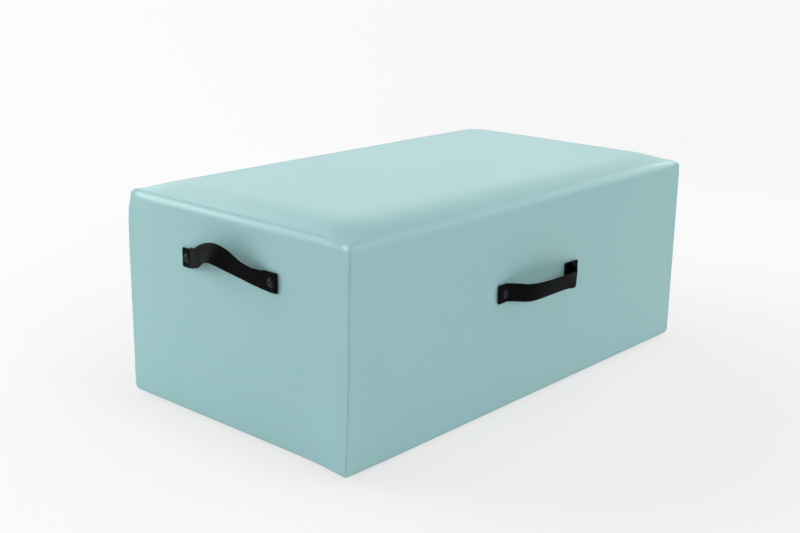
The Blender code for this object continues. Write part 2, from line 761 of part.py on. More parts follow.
def tab_path(wall):
    """A strap end's middle line, as (station, out from the wall) points.

    It starts at the raw end against the wall, turns back on itself at the tab's outer end,
    runs flat over itself under the washer, and folds up into the leg of the loop.
    """
    turn_radius = (UPPER_PLY - UNDER_PLY) / 2
    turn_middle = wall.tab_end - STRAP_THICKNESS / 2 - turn_radius
    path = [(TAB_INNER_END, UNDER_PLY)]
    for step in range(2 * FOLD_STEPS + 1):
        angle = math.pi * (step / (2 * FOLD_STEPS) - 0.5)
        path.append((turn_middle + turn_radius * math.cos(angle),
                     UNDER_PLY + turn_radius * (1 + math.sin(angle))))
    path += rounded_corner((turn_middle, UPPER_PLY), (FOOT, UPPER_PLY),
                           (arch_station(LEG_CUT_START, wall.rise, wall.fullness),
                            UPPER_PLY + LEG_CUT_START), FOLD_RADIUS)
    for step in range(1, LEG_STEPS + 1):
        height = LEG_CUT_START + (LEG_CUT_END - LEG_CUT_START) * (step - 1) / (LEG_STEPS - 1)
        path.append((arch_station(height, wall.rise, wall.fullness), UPPER_PLY + height))
    return path


def add_tab(wall, letter, side, frame, soft_bores, knuckle):
    """One fixed end of a handle: webbing folded double, held by the screw, and its leg."""
    path = [(side * station, out) for station, out in tab_path(wall)]
    mesh = strap_mesh(f"{wall.name}_handle_tab_{letter}", path)
    tab = add_object(mesh.name, mesh, "black_webbing", frame)
    thicken_strap(tab)
    cut(tab, soft_bores)
    cut(tab, knuckle, "INTERSECT")
    shade_smooth(tab)


def place_out(item, side, out):
    """Stand a turned piece on a wall at a fastener, its +Z pointing out."""
    item.location = (side * SCREW_STATION, -out, 0)
    item.rotation_euler = (math.radians(90), 0, 0)


def screw_profile(wall):
    """Outline of a button head screw, from the middle of its head to its tip."""
    length = HEAD_SEAT - wall.nut_seat + NUT_FLANGE_THICKNESS + SCREW_BEYOND_NUT
    dome = []
    for step in range(DOME_STEPS + 1):
        angle = math.radians(90 * step / DOME_STEPS)
        dome.append((SCREW_HEAD_RADIUS * math.sin(angle),
                     SCREW_HEAD_RIM + (SCREW_HEAD_HEIGHT - SCREW_HEAD_RIM) * math.cos(angle)))
    return dome + [(SCREW_HEAD_RADIUS, 0), (SCREW_RADIUS, 0),
                   (SCREW_RADIUS, -length + SCREW_RADIUS / 2), (SCREW_RADIUS / 2, -length),
                   (0, -length)]


def add_turned(name, profile, closed, material_name, frame, side, out):
    """A turned piece of a handle's fastening, standing out of the wall."""
    item = add_object(name, turned_mesh(name, profile, closed), material_name, frame)
    place_out(item, side, out)
    add_screw_modifier(item)
    return item


def add_handle_screw(wall, letter, side, frame):
    """A handle's button head screw with its hexagon socket."""
    screw = add_turned(f"{wall.name}_handle_screw_{letter}", screw_profile(wall), False,
                       "black_steel", frame, side, HEAD_SEAT)
    work = bmesh.new()
    bmesh.ops.create_cone(work, cap_ends=True, segments=6, radius1=SOCKET_WIDTH / math.sqrt(3),
                          radius2=SOCKET_WIDTH / math.sqrt(3), depth=2 * SOCKET_DEPTH)
    mesh = finish_mesh(f"{screw.name}_socket", work)
    socket = add_cutter(mesh.name, mesh, frame)
    place_out(socket, side, HEAD_SEAT + SCREW_HEAD_HEIGHT)
    cut(screw, socket)
    shade_smooth(screw)


def add_washer_and_nut(wall, letter, side, frame):
    """The washer under a handle's screw head, and the flanged nut inside the board."""
    washer = [(THREAD_BORE_RADIUS, WASHER_THICKNESS), (WASHER_RADIUS, WASHER_THICKNESS),
              (WASHER_RADIUS, 0), (THREAD_BORE_RADIUS, 0)]
    shade_smooth(add_turned(f"{wall.name}_handle_washer_{letter}", washer, True,
                            "black_steel", frame, side, WASHER_SEAT))
    barrel_length = BOARD - NUT_SHORT_OF_BOARD
    flange_radius = NUT_BARREL_RADIUS + NUT_FLANGE_WIDTH
    nut = [(THREAD_BORE_RADIUS, barrel_length), (NUT_BARREL_RADIUS, barrel_length),
           (NUT_BARREL_RADIUS, 0), (flange_radius, 0),
           (flange_radius, -NUT_FLANGE_THICKNESS), (THREAD_BORE_RADIUS, -NUT_FLANGE_THICKNESS)]
    shade_smooth(add_turned(f"{wall.name}_handle_nut_{letter}", nut, True,
                            "zinc_steel", frame, side, wall.nut_seat))


def add_handles(walls, frames, bores):
    """The four grab handles, one on each wall."""
    for wall in walls:
        frame = frames[wall.name]
        loop_knuckle, tab_knuckle = add_knuckles(wall, frame)
        add_loop(wall, frame, loop_knuckle)
        for letter, side in (("a", -1), ("b", 1)):
            add_tab(wall, letter, side, frame, bores[wall.name][0], tab_knuckle)
            add_handle_screw(wall, letter, side, frame)
            add_washer_and_nut(wall, letter, side, frame)


def build():
    """Make the whole box."""
    walls = box_walls()
    frames = add_wall_frames(walls)
    bores = add_bores(walls, frames)
    add_dust_cover()
    add_carcass(bores)
    add_padding(bores)
    add_cover(bores)
    add_handles(walls, frames, bores)
    bpy.context.view_layer.update()


clear_scene()
PARTS = make_collection("pilates_sitting_box")
CUTTERS = make_collection("cutters")
SMOOTH_SHADING = make_smooth_shading()
build()
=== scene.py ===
"""The pilates sitting box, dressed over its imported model.

The vinyl cover, the foam padding, the webbing handles with their fasteners and the dust
cover are made here. The boards, posts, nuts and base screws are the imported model's own
solids, with finishes of their own.
"""

import json
import logging
import math
from dataclasses import dataclass, field, replace
from enum import Enum
from typing import Iterable, Sequence

import bmesh
import bpy
import numpy as np
from mathutils import Matrix, Vector, kdtree, noise


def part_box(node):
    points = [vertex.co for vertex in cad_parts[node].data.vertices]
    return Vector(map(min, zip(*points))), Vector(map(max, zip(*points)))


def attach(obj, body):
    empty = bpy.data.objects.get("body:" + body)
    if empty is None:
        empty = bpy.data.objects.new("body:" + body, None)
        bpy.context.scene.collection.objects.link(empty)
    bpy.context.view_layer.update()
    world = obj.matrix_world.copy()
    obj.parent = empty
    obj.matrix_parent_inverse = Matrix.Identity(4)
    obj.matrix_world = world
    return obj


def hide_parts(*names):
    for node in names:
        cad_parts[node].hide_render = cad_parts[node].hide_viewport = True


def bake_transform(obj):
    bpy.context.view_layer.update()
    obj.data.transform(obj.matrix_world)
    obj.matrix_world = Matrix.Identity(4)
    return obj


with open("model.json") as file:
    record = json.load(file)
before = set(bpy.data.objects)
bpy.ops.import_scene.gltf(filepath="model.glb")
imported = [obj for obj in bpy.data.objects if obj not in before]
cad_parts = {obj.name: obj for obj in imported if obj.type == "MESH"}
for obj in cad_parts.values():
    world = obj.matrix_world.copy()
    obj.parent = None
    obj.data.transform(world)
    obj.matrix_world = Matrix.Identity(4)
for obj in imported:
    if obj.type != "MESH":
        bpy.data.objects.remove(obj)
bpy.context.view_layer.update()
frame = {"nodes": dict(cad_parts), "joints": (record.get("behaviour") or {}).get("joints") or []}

LOG = logging.getLogger("sitting_box")

Pair = tuple[float, float]
Triple = tuple[float, float, float]
Quad = tuple[float, float, float, float]


class Slot(Enum):
    """The record's material slots of the pieces that are made here."""

    VINYL = "teal_vinyl"
    FOAM = "foam"
    DUST_CLOTH = "dust_cloth"
    WEBBING = "black_webbing"
    BLACK_STEEL = "black_steel"
    ZINC_STEEL = "zinc_steel"


class Axis(Enum):
    """The world axis that a board's thickness runs along."""

    X = 0
    Y = 1
    Z = 2


class Wall(Enum):
    """The box's four walls, each by its turn in degrees about Z from the front one."""

    FRONT = 0
    RIGHT = 90
    BACK = 180
    LEFT = 270

    @property
    def label(self) -> str:
        """The wall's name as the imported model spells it."""
        return self.name.lower()

    @property
    def spin(self) -> Matrix:
        """The turn that brings the front wall to this one."""
        return Matrix.Rotation(math.radians(self.value), 4, "Z")


def smooth_step(values: np.ndarray, low: float, high: float) -> np.ndarray:
    """Ease from 0 to 1 between two levels.

    Args:
        values: Where to read the ease.
        low: The level at and before which it is 0.
        high: The level from which on it is 1.

    Returns:
        The eased shares, one for each value.
    """
    share = np.clip((np.asarray(values, float) - low) / (high - low), 0.0, 1.0)
    return share * share * (3.0 - 2.0 * share)


def noise_at(points: np.ndarray, wavelength: float, seed: float) -> np.ndarray:
    """Read a soft noise, about -1 to 1, at points in space.

    Args:
        points: Rows of coordinates, in metres.
        wavelength: The size of the noise's features, in metres.
        seed: A shift that makes one noise differ from the next.

    Returns:
        One value for each point.
    """
    shift = Vector((seed, 2.3 * seed, -1.7 * seed))
    return np.array([noise.noise(Vector(point) / wavelength + shift) for point in points])


def circle(radius: float, height: float, count: int) -> list[Triple]:
    """Evenly spaced points on a level circle about Z."""
    turns = [math.tau * index / count for index in range(count)]
    return [(radius * math.cos(turn), radius * math.sin(turn), height) for turn in turns]


def ring_faces(rows: int, count: int, start: int = 0, closed: bool = False
               ) -> list[tuple[int, ...]]:
    """Skin rings of points that follow one another.

    Args:
        rows: How many rings there are.
        count: How many points each has.
        start: The number of the first ring's first point.
        closed: Whether the last ring leads back to the first. If not, both are capped.

    Returns:
        The faces' vertex numbers.
    """
    faces = []
    for row in range(rows if closed else rows - 1):
        base, above = start + row * count, start + (row + 1) % rows * count
        for index in range(count):
            after = (index + 1) % count
            faces.append((base + index, base + after, above + after, above + index))
    if not closed:
        last = start + (rows - 1) * count
        faces.append(tuple(reversed(range(start, start + count))))
        faces.append(tuple(range(last, last + count)))
    return faces


def link_object(name: str, data: bpy.types.ID) -> bpy.types.Object:
    """Make an object and link it to the scene.

    Args:
        name: Its name.
        data: Its mesh, light or camera.

    Returns:
        The object.
    """
    item = bpy.data.objects.new(name, data)
    bpy.context.scene.collection.objects.link(item)
    return item


def shade(mesh: bpy.types.Mesh, smooth: bool = True) -> None:
    """Shade all of a mesh's faces smooth or flat."""
    mesh.polygons.foreach_set("use_smooth", [smooth] * len(mesh.polygons))


def new_mesh_object(name: str, points: Iterable, faces: Iterable, smooth: bool = True
                    ) -> bpy.types.Object:
    """Make an object from points and faces and link it to the scene.

    Args:
        name: The object's name.
        points: The vertices' places, in metres.
        faces: The faces' vertex numbers.
        smooth: Whether it is shaded smooth.

    Returns:
        The new object.
    """
    mesh = bpy.data.meshes.new(name)
    mesh.from_pydata([tuple(map(float, point)) for point in points], [],
                     [tuple(map(int, face)) for face in faces])
    shade(mesh, smooth)
    mesh.update()
    return link_object(name, mesh)


def read_rows(elements: bpy.types.bpy_prop_collection, name: str, kind: type) -> np.ndarray:
    """Read a vector of each of a mesh's elements.

    Args:
        elements: The mesh's vertices or normals.
        name: The vector's name.
        kind: The kind of number it is read as.

    Returns:
        Rows of coordinates, as floats.
    """
    flat = np.zeros(len(elements) * 3, kind)
    elements.foreach_get(name, flat)
    return flat.reshape(-1, 3).astype(float)


def read_points(mesh: bpy.types.Mesh) -> np.ndarray:
    """The mesh's vertices as rows of coordinates."""
    return read_rows(mesh.vertices, "co", float)


def read_normals(mesh: bpy.types.Mesh) -> np.ndarray:
    """The mesh's vertex normals as rows of coordinates."""
    return read_rows(mesh.vertex_normals, "vector", np.float32)


def write_points(mesh: bpy.types.Mesh, points: np.ndarray) -> None:
    """Move the mesh's vertices to new places."""
    mesh.vertices.foreach_set("co", points.astype(np.float32).ravel())
    mesh.update()


def raise_points(mesh: bpy.types.Mesh, heights: np.ndarray) -> None:
    """Move the mesh's vertices along their normals, each by its own height."""
    write_points(mesh, read_points(mesh) + read_normals(mesh) * heights[:, None])


def settle(item: bpy.types.Object) -> None:
    """Apply every modifier of an object to its mesh.

    Args:
        item: The object.
    """
    bpy.context.view_layer.update()
    graph = bpy.context.evaluated_depsgraph_get()
    settled = bpy.data.meshes.new_from_object(item.evaluated_get(graph))
    settled.name = item.name
    item.modifiers.clear()
    item.data = settled


def thicken(item: bpy.types.Object, thickness: float, offset: float) -> None:
    """Give a skin its thickness, inward where the offset is -1 and both ways where 0.

    Args:
        item: The skin.
        thickness: How thick it becomes, in metres.
        offset: Which way it grows.
    """
    shell = item.modifiers.new("shell", "SOLIDIFY")
    shell.thickness = thickness
    shell.offset = offset
    settle(item)


def cut_away(item: bpy.types.Object, cutter: bpy.types.Object, folded: bool = False) -> None:
    """Cut one closed object's form out of another and remove the cutter.

    Args:
        item: What is cut.
        cutter: The form to take away.
        folded: Whether the cut object's own layers may touch each other.
    """
    hole = item.modifiers.new("hole", "BOOLEAN")
    hole.operation = "DIFFERENCE"
    hole.solver = "EXACT"
    hole.use_self = folded
    hole.object = cutter
    settle(item)
    bpy.data.objects.remove(cutter, do_unlink=True)


def dress(item: bpy.types.Object, material: bpy.types.Material) -> None:
    """Give an object one material in place of those that it has."""
    item.data.materials.clear()
    item.data.materials.append(material)


class NodeDesk:
    """Adds nodes to one node tree and wires them."""

    def __init__(self, tree: bpy.types.NodeTree) -> None:
        """Keep the tree that the nodes go into."""
        self.tree = tree

    def feed(self, node: bpy.types.Node, inputs: dict) -> bpy.types.Node:
        """Set or wire some inputs of a node.

        Args:
            node: The node.
            inputs: Values or output sockets for its inputs, by name or number.

        Returns:
            The node.
        """
        for key, value in inputs.items():
            if isinstance(value, bpy.types.NodeSocket):
                self.tree.links.new(value, node.inputs[key])
            else:
                node.inputs[key].default_value = value
        return node

    def add(self, kind: str, inputs: dict | None = None, **settings: object) -> bpy.types.Node:
        """Add a node, set it up and wire its inputs.

        Args:
            kind: The node's type name.
            inputs: Values or output sockets for its inputs, by name or number.
            settings: Values for the node's own properties.

        Returns:
            The new node.
        """
        node = self.tree.nodes.new(kind)
        for key, value in settings.items():
            setattr(node, key, value)
        return self.feed(node, inputs or {})

    def place(self) -> bpy.types.NodeSocket:
        """Add a node for the place on the surface, in the object's own space."""
        return self.add("ShaderNodeTexCoord").outputs["Object"]

    def effect(self, group: bpy.types.NodeTree, place: bpy.types.NodeSocket, **sizes: float
               ) -> bpy.types.bpy_prop_collection:
        """Add a shared effect at a place and give its outputs."""
        return self.add("ShaderNodeGroup", {"Vector": place, **sizes}, node_tree=group).outputs

    def maths(self, operation: str, *values: object) -> bpy.types.NodeSocket:
        """Add a Math node on up to three values or sockets and give its result."""
        return self.add("ShaderNodeMath", dict(enumerate(values)), operation=operation).outputs[0]

    def plus(self, first: object, second: object) -> bpy.types.NodeSocket:
        """Add one value or socket to another and give the sum."""
        return self.maths("ADD", first, second)

    def times(self, first: object, second: object) -> bpy.types.NodeSocket:
        """Multiply one value or socket by another and give the product."""
        return self.maths("MULTIPLY", first, second)

    def mix(self, share: object, first: object, second: object) -> bpy.types.NodeSocket:
        """Mix two colours by a share and give the result."""
        return self.add("ShaderNodeMix", {0: share, 6: first, 7: second},
                        data_type="RGBA").outputs[2]

    def span(self, value: object, low: float, high: float,
             to_low: float = 0.0, to_high: float = 1.0) -> bpy.types.NodeSocket:
        """Map one range to another, eased and clamped, and give the result."""
        return self.add("ShaderNodeMapRange", {0: value, 1: low, 2: high, 3: to_low, 4: to_high},
                        interpolation_type="SMOOTHSTEP").outputs[0]

    def speckle(self, place: object, scale: object, detail: float, rough: float = 0.5
                ) -> bpy.types.NodeSocket:
        """Add a Noise Texture and give its value."""
        return self.add("ShaderNodeTexNoise", {"Vector": place, "Scale": scale,
                                               "Detail": detail, "Roughness": rough}).outputs[0]

    def vector(self, operation: str, inputs: dict) -> bpy.types.NodeSocket:
        """Add a Vector Math node that gives a vector."""
        return self.add("ShaderNodeVectorMath", inputs, operation=operation).outputs[0]

    def bump(self, height: object, strength: float, depth: float) -> bpy.types.NodeSocket:
        """Add a Bump node and give its normal."""
        return self.add("ShaderNodeBump", {"Height": height, "Strength": strength,
                                           "Distance": depth}).outputs[0]

    def blend_shaders(self, share: bpy.types.NodeSocket, first: bpy.types.Node,
                      second: bpy.types.Node, output: str) -> None:
        """Mix two shaders by a share and wire them to the tree's output node."""
        both = self.add("ShaderNodeMixShader", {0: share, 1: first.outputs[0],
                                                2: second.outputs[0]})
        self.feed(self.tree.nodes[output], {"Surface": both.outputs[0]})


class Effects:
    """The shader effects that several finishes use, each a node group built once."""

    def __init__(self) -> None:
        """Build the groups."""
        self.cloud = self._build_cloud()
        self.grain = self._build_grain()
        self.weave = self._build_weave()
        self.wood = self._build_wood()
        self.wear = self._build_wear()

    @staticmethod
    def _group(name: str, results: Sequence[str], **sizes: float
               ) -> tuple[NodeDesk, bpy.types.bpy_prop_collection, bpy.types.Node]:
        """Start a group that reads a vector and some sizes and gives numbers.

        Args:
            name: The group's name.
            results: The names of its outputs.
            sizes: Start values of the sizes, by input name.

        Returns:
            The desk of the group's tree, the sockets of its inputs and its output node.
        """
        tree = bpy.data.node_groups.new(name, "ShaderNodeTree")
        tree.interface.new_socket("Vector", in_out="INPUT", socket_type="NodeSocketVector")
        for label, value in sizes.items():
            socket = tree.interface.new_socket(label, in_out="INPUT",
                                               socket_type="NodeSocketFloat")
            socket.default_value = value
        for label in results:
            tree.interface.new_socket(label, in_out="OUTPUT", socket_type="NodeSocketFloat")
        desk = NodeDesk(tree)
        return desk, desk.add("NodeGroupInput").outputs, desk.add("NodeGroupOutput")

    def _build_cloud(self) -> bpy.types.NodeTree:
        """Make a slow, uneven mask for tone and gloss that drift over a surface.

        Returns:
            The group's tree.
        """
        desk, given, made = self._group("cloud", ["Mask"], Size=0.1)
        scale = desk.maths("DIVIDE", 1.0, given["Size"])
        drift = desk.speckle(given["Vector"], scale, 2.0)
        desk.feed(made, {"Mask": desk.span(drift, 0.3, 0.7)})
        return desk.tree

    def _build_grain(self) -> bpy.types.NodeTree:
        """Make the pressed grain of vinyl: soft pebbles with fine creases between them.

        Returns:
            The group's tree.
        """
        desk, given, made = self._group("leather_grain", ["Height", "Crease"], Pebble=0.0009)
        scale = desk.maths("DIVIDE", 1.0, given["Pebble"])
        bend = desk.add("ShaderNodeTexNoise", {"Vector": given["Vector"], "Detail": 1.0,
                                               "Scale": desk.times(scale, 0.35)})
        offset = desk.vector("SUBTRACT", {0: bend.outputs["Color"], 1: (0.5, 0.5, 0.5)})
        shift = desk.vector("SCALE", {0: offset, "Scale": desk.times(given["Pebble"], 1.4)})
        place = desk.vector("ADD", {0: given["Vector"], 1: shift})
        cells = desk.add("ShaderNodeTexVoronoi", {"Vector": place, "Scale": scale},
                         feature="DISTANCE_TO_EDGE")
        away = cells.outputs["Distance"]
        desk.feed(made, {"Height": desk.span(away, 0.0, 0.35),
                         "Crease": desk.maths("SUBTRACT", 1.0, desk.span(away, 0.0, 0.12))})
        return desk.tree

    def _build_weave(self) -> bpy.types.NodeTree:
        """Make woven yarns: two sets of threads that pass over and under each other.

        Returns:
            The group's tree.
        """
        desk, given, made = self._group("weave", ["Height"], Along=0.0011, Across=0.0022)
        parts = desk.add("ShaderNodeSeparateXYZ", {0: given["Vector"]}).outputs
        across = desk.maths("DIVIDE", parts["Y"], given["Across"])
        slant = desk.times(desk.maths("FLOOR", across), 0.5)
        along = desk.plus(desk.maths("DIVIDE", parts["X"], given["Along"]), slant)
        ridge, rib = (desk.maths("ABSOLUTE", desk.maths("SINE", desk.times(turn, math.pi)))
                      for turn in (along, across))
        height = desk.times(desk.maths("POWER", rib, 0.5),
                            desk.plus(0.45, desk.times(ridge, 0.55)))
        desk.feed(made, {"Height": height})
        return desk.tree

    def _build_wood(self) -> bpy.types.NodeTree:
        """Make wood grain: long fibres with slow bands of darker late wood.

        Returns:
            The group's tree.
        """
        desk, given, made = self._group("wood_grain", ["Tone", "Fibre"], Band=0.012)
        scale = desk.maths("DIVIDE", 1.0, given["Band"])
        bands = desk.add("ShaderNodeTexWave",
                         {"Vector": given["Vector"], "Scale": desk.times(scale, 0.3),
                          "Distortion": 6.0, "Detail": 2.0, "Detail Scale": 0.6},
                         wave_type="BANDS", bands_direction="Y")
        fibre = desk.speckle(given["Vector"], desk.times(scale, 9.0), 4.0)
        desk.feed(made, {"Tone": bands.outputs["Fac"], "Fibre": fibre})
        return desk.tree

    def _build_wear(self) -> bpy.types.NodeTree:
        """Make fine rubs and dust: scattered short scratches and a soft speckle.

        Returns:
            The group's tree.
        """
        desk, given, made = self._group("wear", ["Rub", "Speckle"], Size=0.004)
        scale = desk.maths("DIVIDE", 1.0, given["Size"])
        stretch = desk.add("ShaderNodeMapping", {"Vector": given["Vector"],
                                                 "Scale": (1.0, 4.0, 7.0)})
        rubs = desk.speckle(stretch.outputs[0], scale, 5.0, 0.7)
        specks = desk.speckle(given["Vector"], desk.times(scale, 6.0), 2.0)
        desk.feed(made, {"Rub": desk.span(rubs, 0.56, 0.72),
                         "Speckle": desk.span(specks, 0.55, 0.75)})
        return desk.tree


@dataclass(frozen=True)
class Finish:
    """What every finish has: its name, its colours and its roughness."""

    name: str
    colour: Triple
    deep_colour: Triple
    roughness: float

    @property
    def tones(self) -> tuple[tuple, tuple]:
        """The deep colour and the colour, ready for a Mix node."""
        return (*self.deep_colour, 1.0), (*self.colour, 1.0)

    def look(self, desk: NodeDesk, effects: Effects) -> dict:
        """What the finish's shader is fed, beside the plain roughness."""
        raise NotImplementedError

    def build(self, effects: Effects) -> bpy.types.Material:
        """Make the finish's material.

        Args:
            effects: The shared effects that it is built on.

        Returns:
            The material.
        """
        material = bpy.data.materials.new(self.name)
        material.use_nodes = True
        material.diffuse_color = (*self.colour, 1.0)
        desk = NodeDesk(material.node_tree)
        shader = desk.feed(desk.tree.nodes["Principled BSDF"], {"Roughness": self.roughness})
        desk.feed(shader, self.look(desk, effects))
        return material


@dataclass(frozen=True)
class VinylFinish(Finish):
    """Upholstery vinyl: even colour, a fine pressed grain and a soft gloss."""

    pebble: float = 0.0009
    grain_depth: float = 0.00004
    grain_strength: float = 0.35
    drift: float = 0.16
    crease_share: float = 0.10
    crease_tone: float = 0.8
    gloss_range: Triple = (-0.03, 0.10, 0.05)

    def look(self, desk: NodeDesk, effects: Effects) -> dict:
        """Wire the vinyl's tone, gloss and grain.

        Args:
            desk: The desk of the material's tree.
            effects: The shared effects.

        Returns:
            What the shader is fed.
        """
        place = desk.place()
        grain = desk.effect(effects.grain, place, Pebble=self.pebble)
        mask = desk.effect(effects.cloud, place, Size=self.drift)["Mask"]
        crease = grain["Crease"]
        least, creased, drifted = self.gloss_range
        gloss = desk.plus(self.roughness + least,
                          desk.plus(desk.times(crease, creased), desk.times(mask, drifted)))
        deepest = (*(self.crease_tone * value for value in self.deep_colour), 1.0)
        return {"Base Color": desk.mix(desk.times(crease, self.crease_share),
                                       desk.mix(mask, *self.tones), deepest),
                "Roughness": gloss,
                "Normal": desk.bump(grain["Height"], self.grain_strength, self.grain_depth)}


@dataclass(frozen=True)
class WebbingFinish(Finish):
    """Woven nylon or polypropylene webbing, read along the strap's own UV map."""

    pick: float = 0.0013
    rib: float = 0.0020
    weave_depth: float = 0.00018
    weave_strength: float = 0.8
    weave_gloss: float = 0.12
    gloss: float = 0.038
    fuzz_size: float = 0.012
    fuzz_share: float = 0.35
    fuzz_tone: float = 2.2

    def look(self, desk: NodeDesk, effects: Effects) -> dict:
        """Wire the webbing's yarns and fuzz.

        Args:
            desk: The desk of the material's tree.
            effects: The shared effects.

        Returns:
            What the shader is fed.
        """
        place = desk.add("ShaderNodeUVMap", uv_map=Strap.UV_MAP).outputs[0]
        height = desk.effect(effects.weave, place, Along=self.pick, Across=self.rib)["Height"]
        fuzz = desk.effect(effects.wear, place, Size=self.fuzz_size)["Speckle"]
        pale = (*(self.fuzz_tone * value for value in self.colour), 1.0)
        return {"Specular IOR Level": self.gloss,
                "Base Color": desk.mix(desk.times(fuzz, self.fuzz_share),
                                       desk.mix(height, *self.tones), pale),
                "Roughness": desk.maths("SUBTRACT", self.roughness,
                                        desk.times(height, self.weave_gloss)),
                "Normal": desk.bump(height, self.weave_strength, self.weave_depth)}


@dataclass(frozen=True)
class SteelFinish(Finish):
    """Plated or blackened steel with fine rubs."""

    rub: float = 0.004
    rub_strength: float = 0.2
    rub_depth: float = 0.00003
    dullness: float = 0.15

    def look(self, desk: NodeDesk, effects: Effects) -> dict:
        """Wire the steel's rubs and specks.

        Args:
            desk: The desk of the material's tree.
            effects: The shared effects.

        Returns:
            What the shader is fed.
        """
        wear = desk.effect(effects.wear, desk.place(), Size=self.rub)
        return {"Metallic": 1.0,
                "Base Color": desk.mix(wear["Rub"], *reversed(self.tones)),
                "Roughness": desk.plus(self.roughness,
                                       desk.times(wear["Speckle"], self.dullness)),
                "Normal": desk.bump(wear["Rub"], self.rub_strength, self.rub_depth)}


@dataclass(frozen=True)
class FoamFinish(Finish):
    """Open-celled upholstery foam."""

    cell: float = 0.0012
    cell_depth: float = 0.0004
    cell_strength: float = 0.7
    drift: float = 0.08

    def look(self, desk: NodeDesk, effects: Effects) -> dict:
        """Wire the foam's cells and the slow drift of its tone.

        Args:
            desk: The desk of the material's tree.
            effects: The shared effects.

        Returns:
            What the shader is fed.
        """
        place = desk.place()
        cells = desk.add("ShaderNodeTexVoronoi", {"Vector": place, "Scale": 1 / self.cell})
        mask = desk.effect(effects.cloud, place, Size=self.drift)["Mask"]
        pore = desk.span(cells.outputs["Distance"], 0.1, 0.5)
        share = desk.times(pore, desk.plus(0.7, desk.times(mask, 0.3)))
        return {"Base Color": desk.mix(share, *self.tones),
                "Normal": desk.bump(pore, self.cell_strength, self.cell_depth)}


@dataclass(frozen=True)
class WoodFinish(Finish):
    """Solid wood, or plywood where a ply's thickness is given."""

    grain_axis: Axis = Axis.X
    thickness_axis: Axis = Axis.Z
    ply: float = 0.0
    squeeze: float = 0.06
    fibre_depth: float = 0.0002
    fibre_strength: float = 0.4

    def look(self, desk: NodeDesk, effects: Effects) -> dict:
        """Wire the wood's bands and fibres, and the plies where it has some.

        Args:
            desk: The desk of the material's tree.
            effects: The shared effects.

        Returns:
            What the shader is fed.
        """
        place = desk.place()
        scale = [self.squeeze if axis is self.grain_axis else 1.0 for axis in Axis]
        along = desk.add("ShaderNodeMapping", {"Vector": place, "Scale": tuple(scale)})
        wood = desk.effect(effects.wood, along.outputs[0])
        share = desk.plus(desk.times(wood["Tone"], 0.6), desk.times(wood["Fibre"], 0.4))
        if self.ply:
            parts = desk.add("ShaderNodeSeparateXYZ", {0: place})
            level = parts.outputs[self.thickness_axis.value]
            wave = desk.maths("SINE", desk.times(level, math.pi / self.ply))
            share = desk.times(share, desk.span(wave, -0.3, 0.3, 0.45, 1.0))
        return {"Base Color": desk.mix(share, *self.tones),
                "Normal": desk.bump(wood["Fibre"], self.fibre_strength, self.fibre_depth)}


@dataclass(frozen=True)
class DustClothFinish(Finish):
    """Thin non-woven cloth: matted fibres with small pressed dots."""

    dot: float = 0.0016
    dot_depth: float = 0.0001
    dot_strength: float = 0.6
    rub: float = 0.006

    def look(self, desk: NodeDesk, effects: Effects) -> dict:
        """Wire the cloth's dots and rubs.

        Args:
            desk: The desk of the material's tree.
            effects: The shared effects.

        Returns:
            What the shader is fed.
        """
        place = desk.place()
        dots = desk.effect(effects.weave, place, Along=self.dot, Across=self.dot)["Height"]
        rubs = desk.effect(effects.wear, place, Size=self.rub)["Rub"]
        share = desk.times(dots, desk.maths("SUBTRACT", 1.0, desk.times(rubs, 0.5)))
        return {"Base Color": desk.mix(share, *self.tones),
                "Normal": desk.bump(share, self.dot_strength, self.dot_depth)}


class Palette:
    """Every material of the box, each built once."""

    def __init__(self) -> None:
        """Build the materials on the shared effects."""
        effects = Effects()
        self.vinyl = VinylFinish("teal_vinyl_grain", (0.327, 0.565, 0.574),
                                 (0.317, 0.555, 0.566), 0.37).build(effects)
        self.webbing = WebbingFinish("black_webbing_weave", (0.0046, 0.0050, 0.0054),
                                     (0.0012, 0.0014, 0.0016), 0.66).build(effects)
        self.black_steel = SteelFinish("black_oxide_steel", (0.034, 0.034, 0.036),
                                       (0.018, 0.018, 0.020), 0.40).build(effects)
        self.zinc_steel = SteelFinish("zinc_plated_steel", (0.66, 0.67, 0.69),
                                      (0.50, 0.51, 0.52), 0.32).build(effects)
        self.foam = FoamFinish("open_cell_foam", (0.82, 0.79, 0.64),
                               (0.60, 0.55, 0.38), 0.95).build(effects)
        self.pine = WoodFinish("pine_post", (0.76, 0.58, 0.36), (0.55, 0.37, 0.18), 0.65,
                               grain_axis=Axis.Z).build(effects)
        self.plywood = {
            axis: WoodFinish(f"birch_plywood_{axis.name.lower()}", (0.70, 0.53, 0.34),
                             (0.40, 0.25, 0.13), 0.62, thickness_axis=axis, ply=0.0013,
                             grain_axis=Axis.Y if axis is Axis.X else Axis.X).build(effects)
            for axis in Axis}
        self.dust_cloth = DustClothFinish("black_dust_cloth", (0.028, 0.028, 0.029),
                                          (0.010, 0.010, 0.011), 0.95).build(effects)


@dataclass(frozen=True)
class CornerLean:
    """How one corner of the sewn cover stands off the plain form, at rising heights.

    Each row holds a height and the shift there along X, Y and Z.
    """

    side_x: int
    side_y: int
    reach: float
    rows: tuple[Quad, ...]

    def shift(self, points: np.ndarray, half_length: float, half_width: float) -> np.ndarray:
        """Find how far the corner draws each point along.

        Args:
            points: The places.
            half_length: The corner's distance from the middle along X.
            half_width: Its distance from the middle along Y.

        Returns:
            One shift for each place.
        """
        rows = np.array(self.rows)
        away = np.hypot(points[:, 0] - self.side_x * half_length,
                        points[:, 1] - self.side_y * half_width)
        share = np.exp(-(away / self.reach) ** 2)
        return np.column_stack([share * np.interp(points[:, 2], rows[:, 0], rows[:, axis])
                                for axis in (1, 2, 3)])


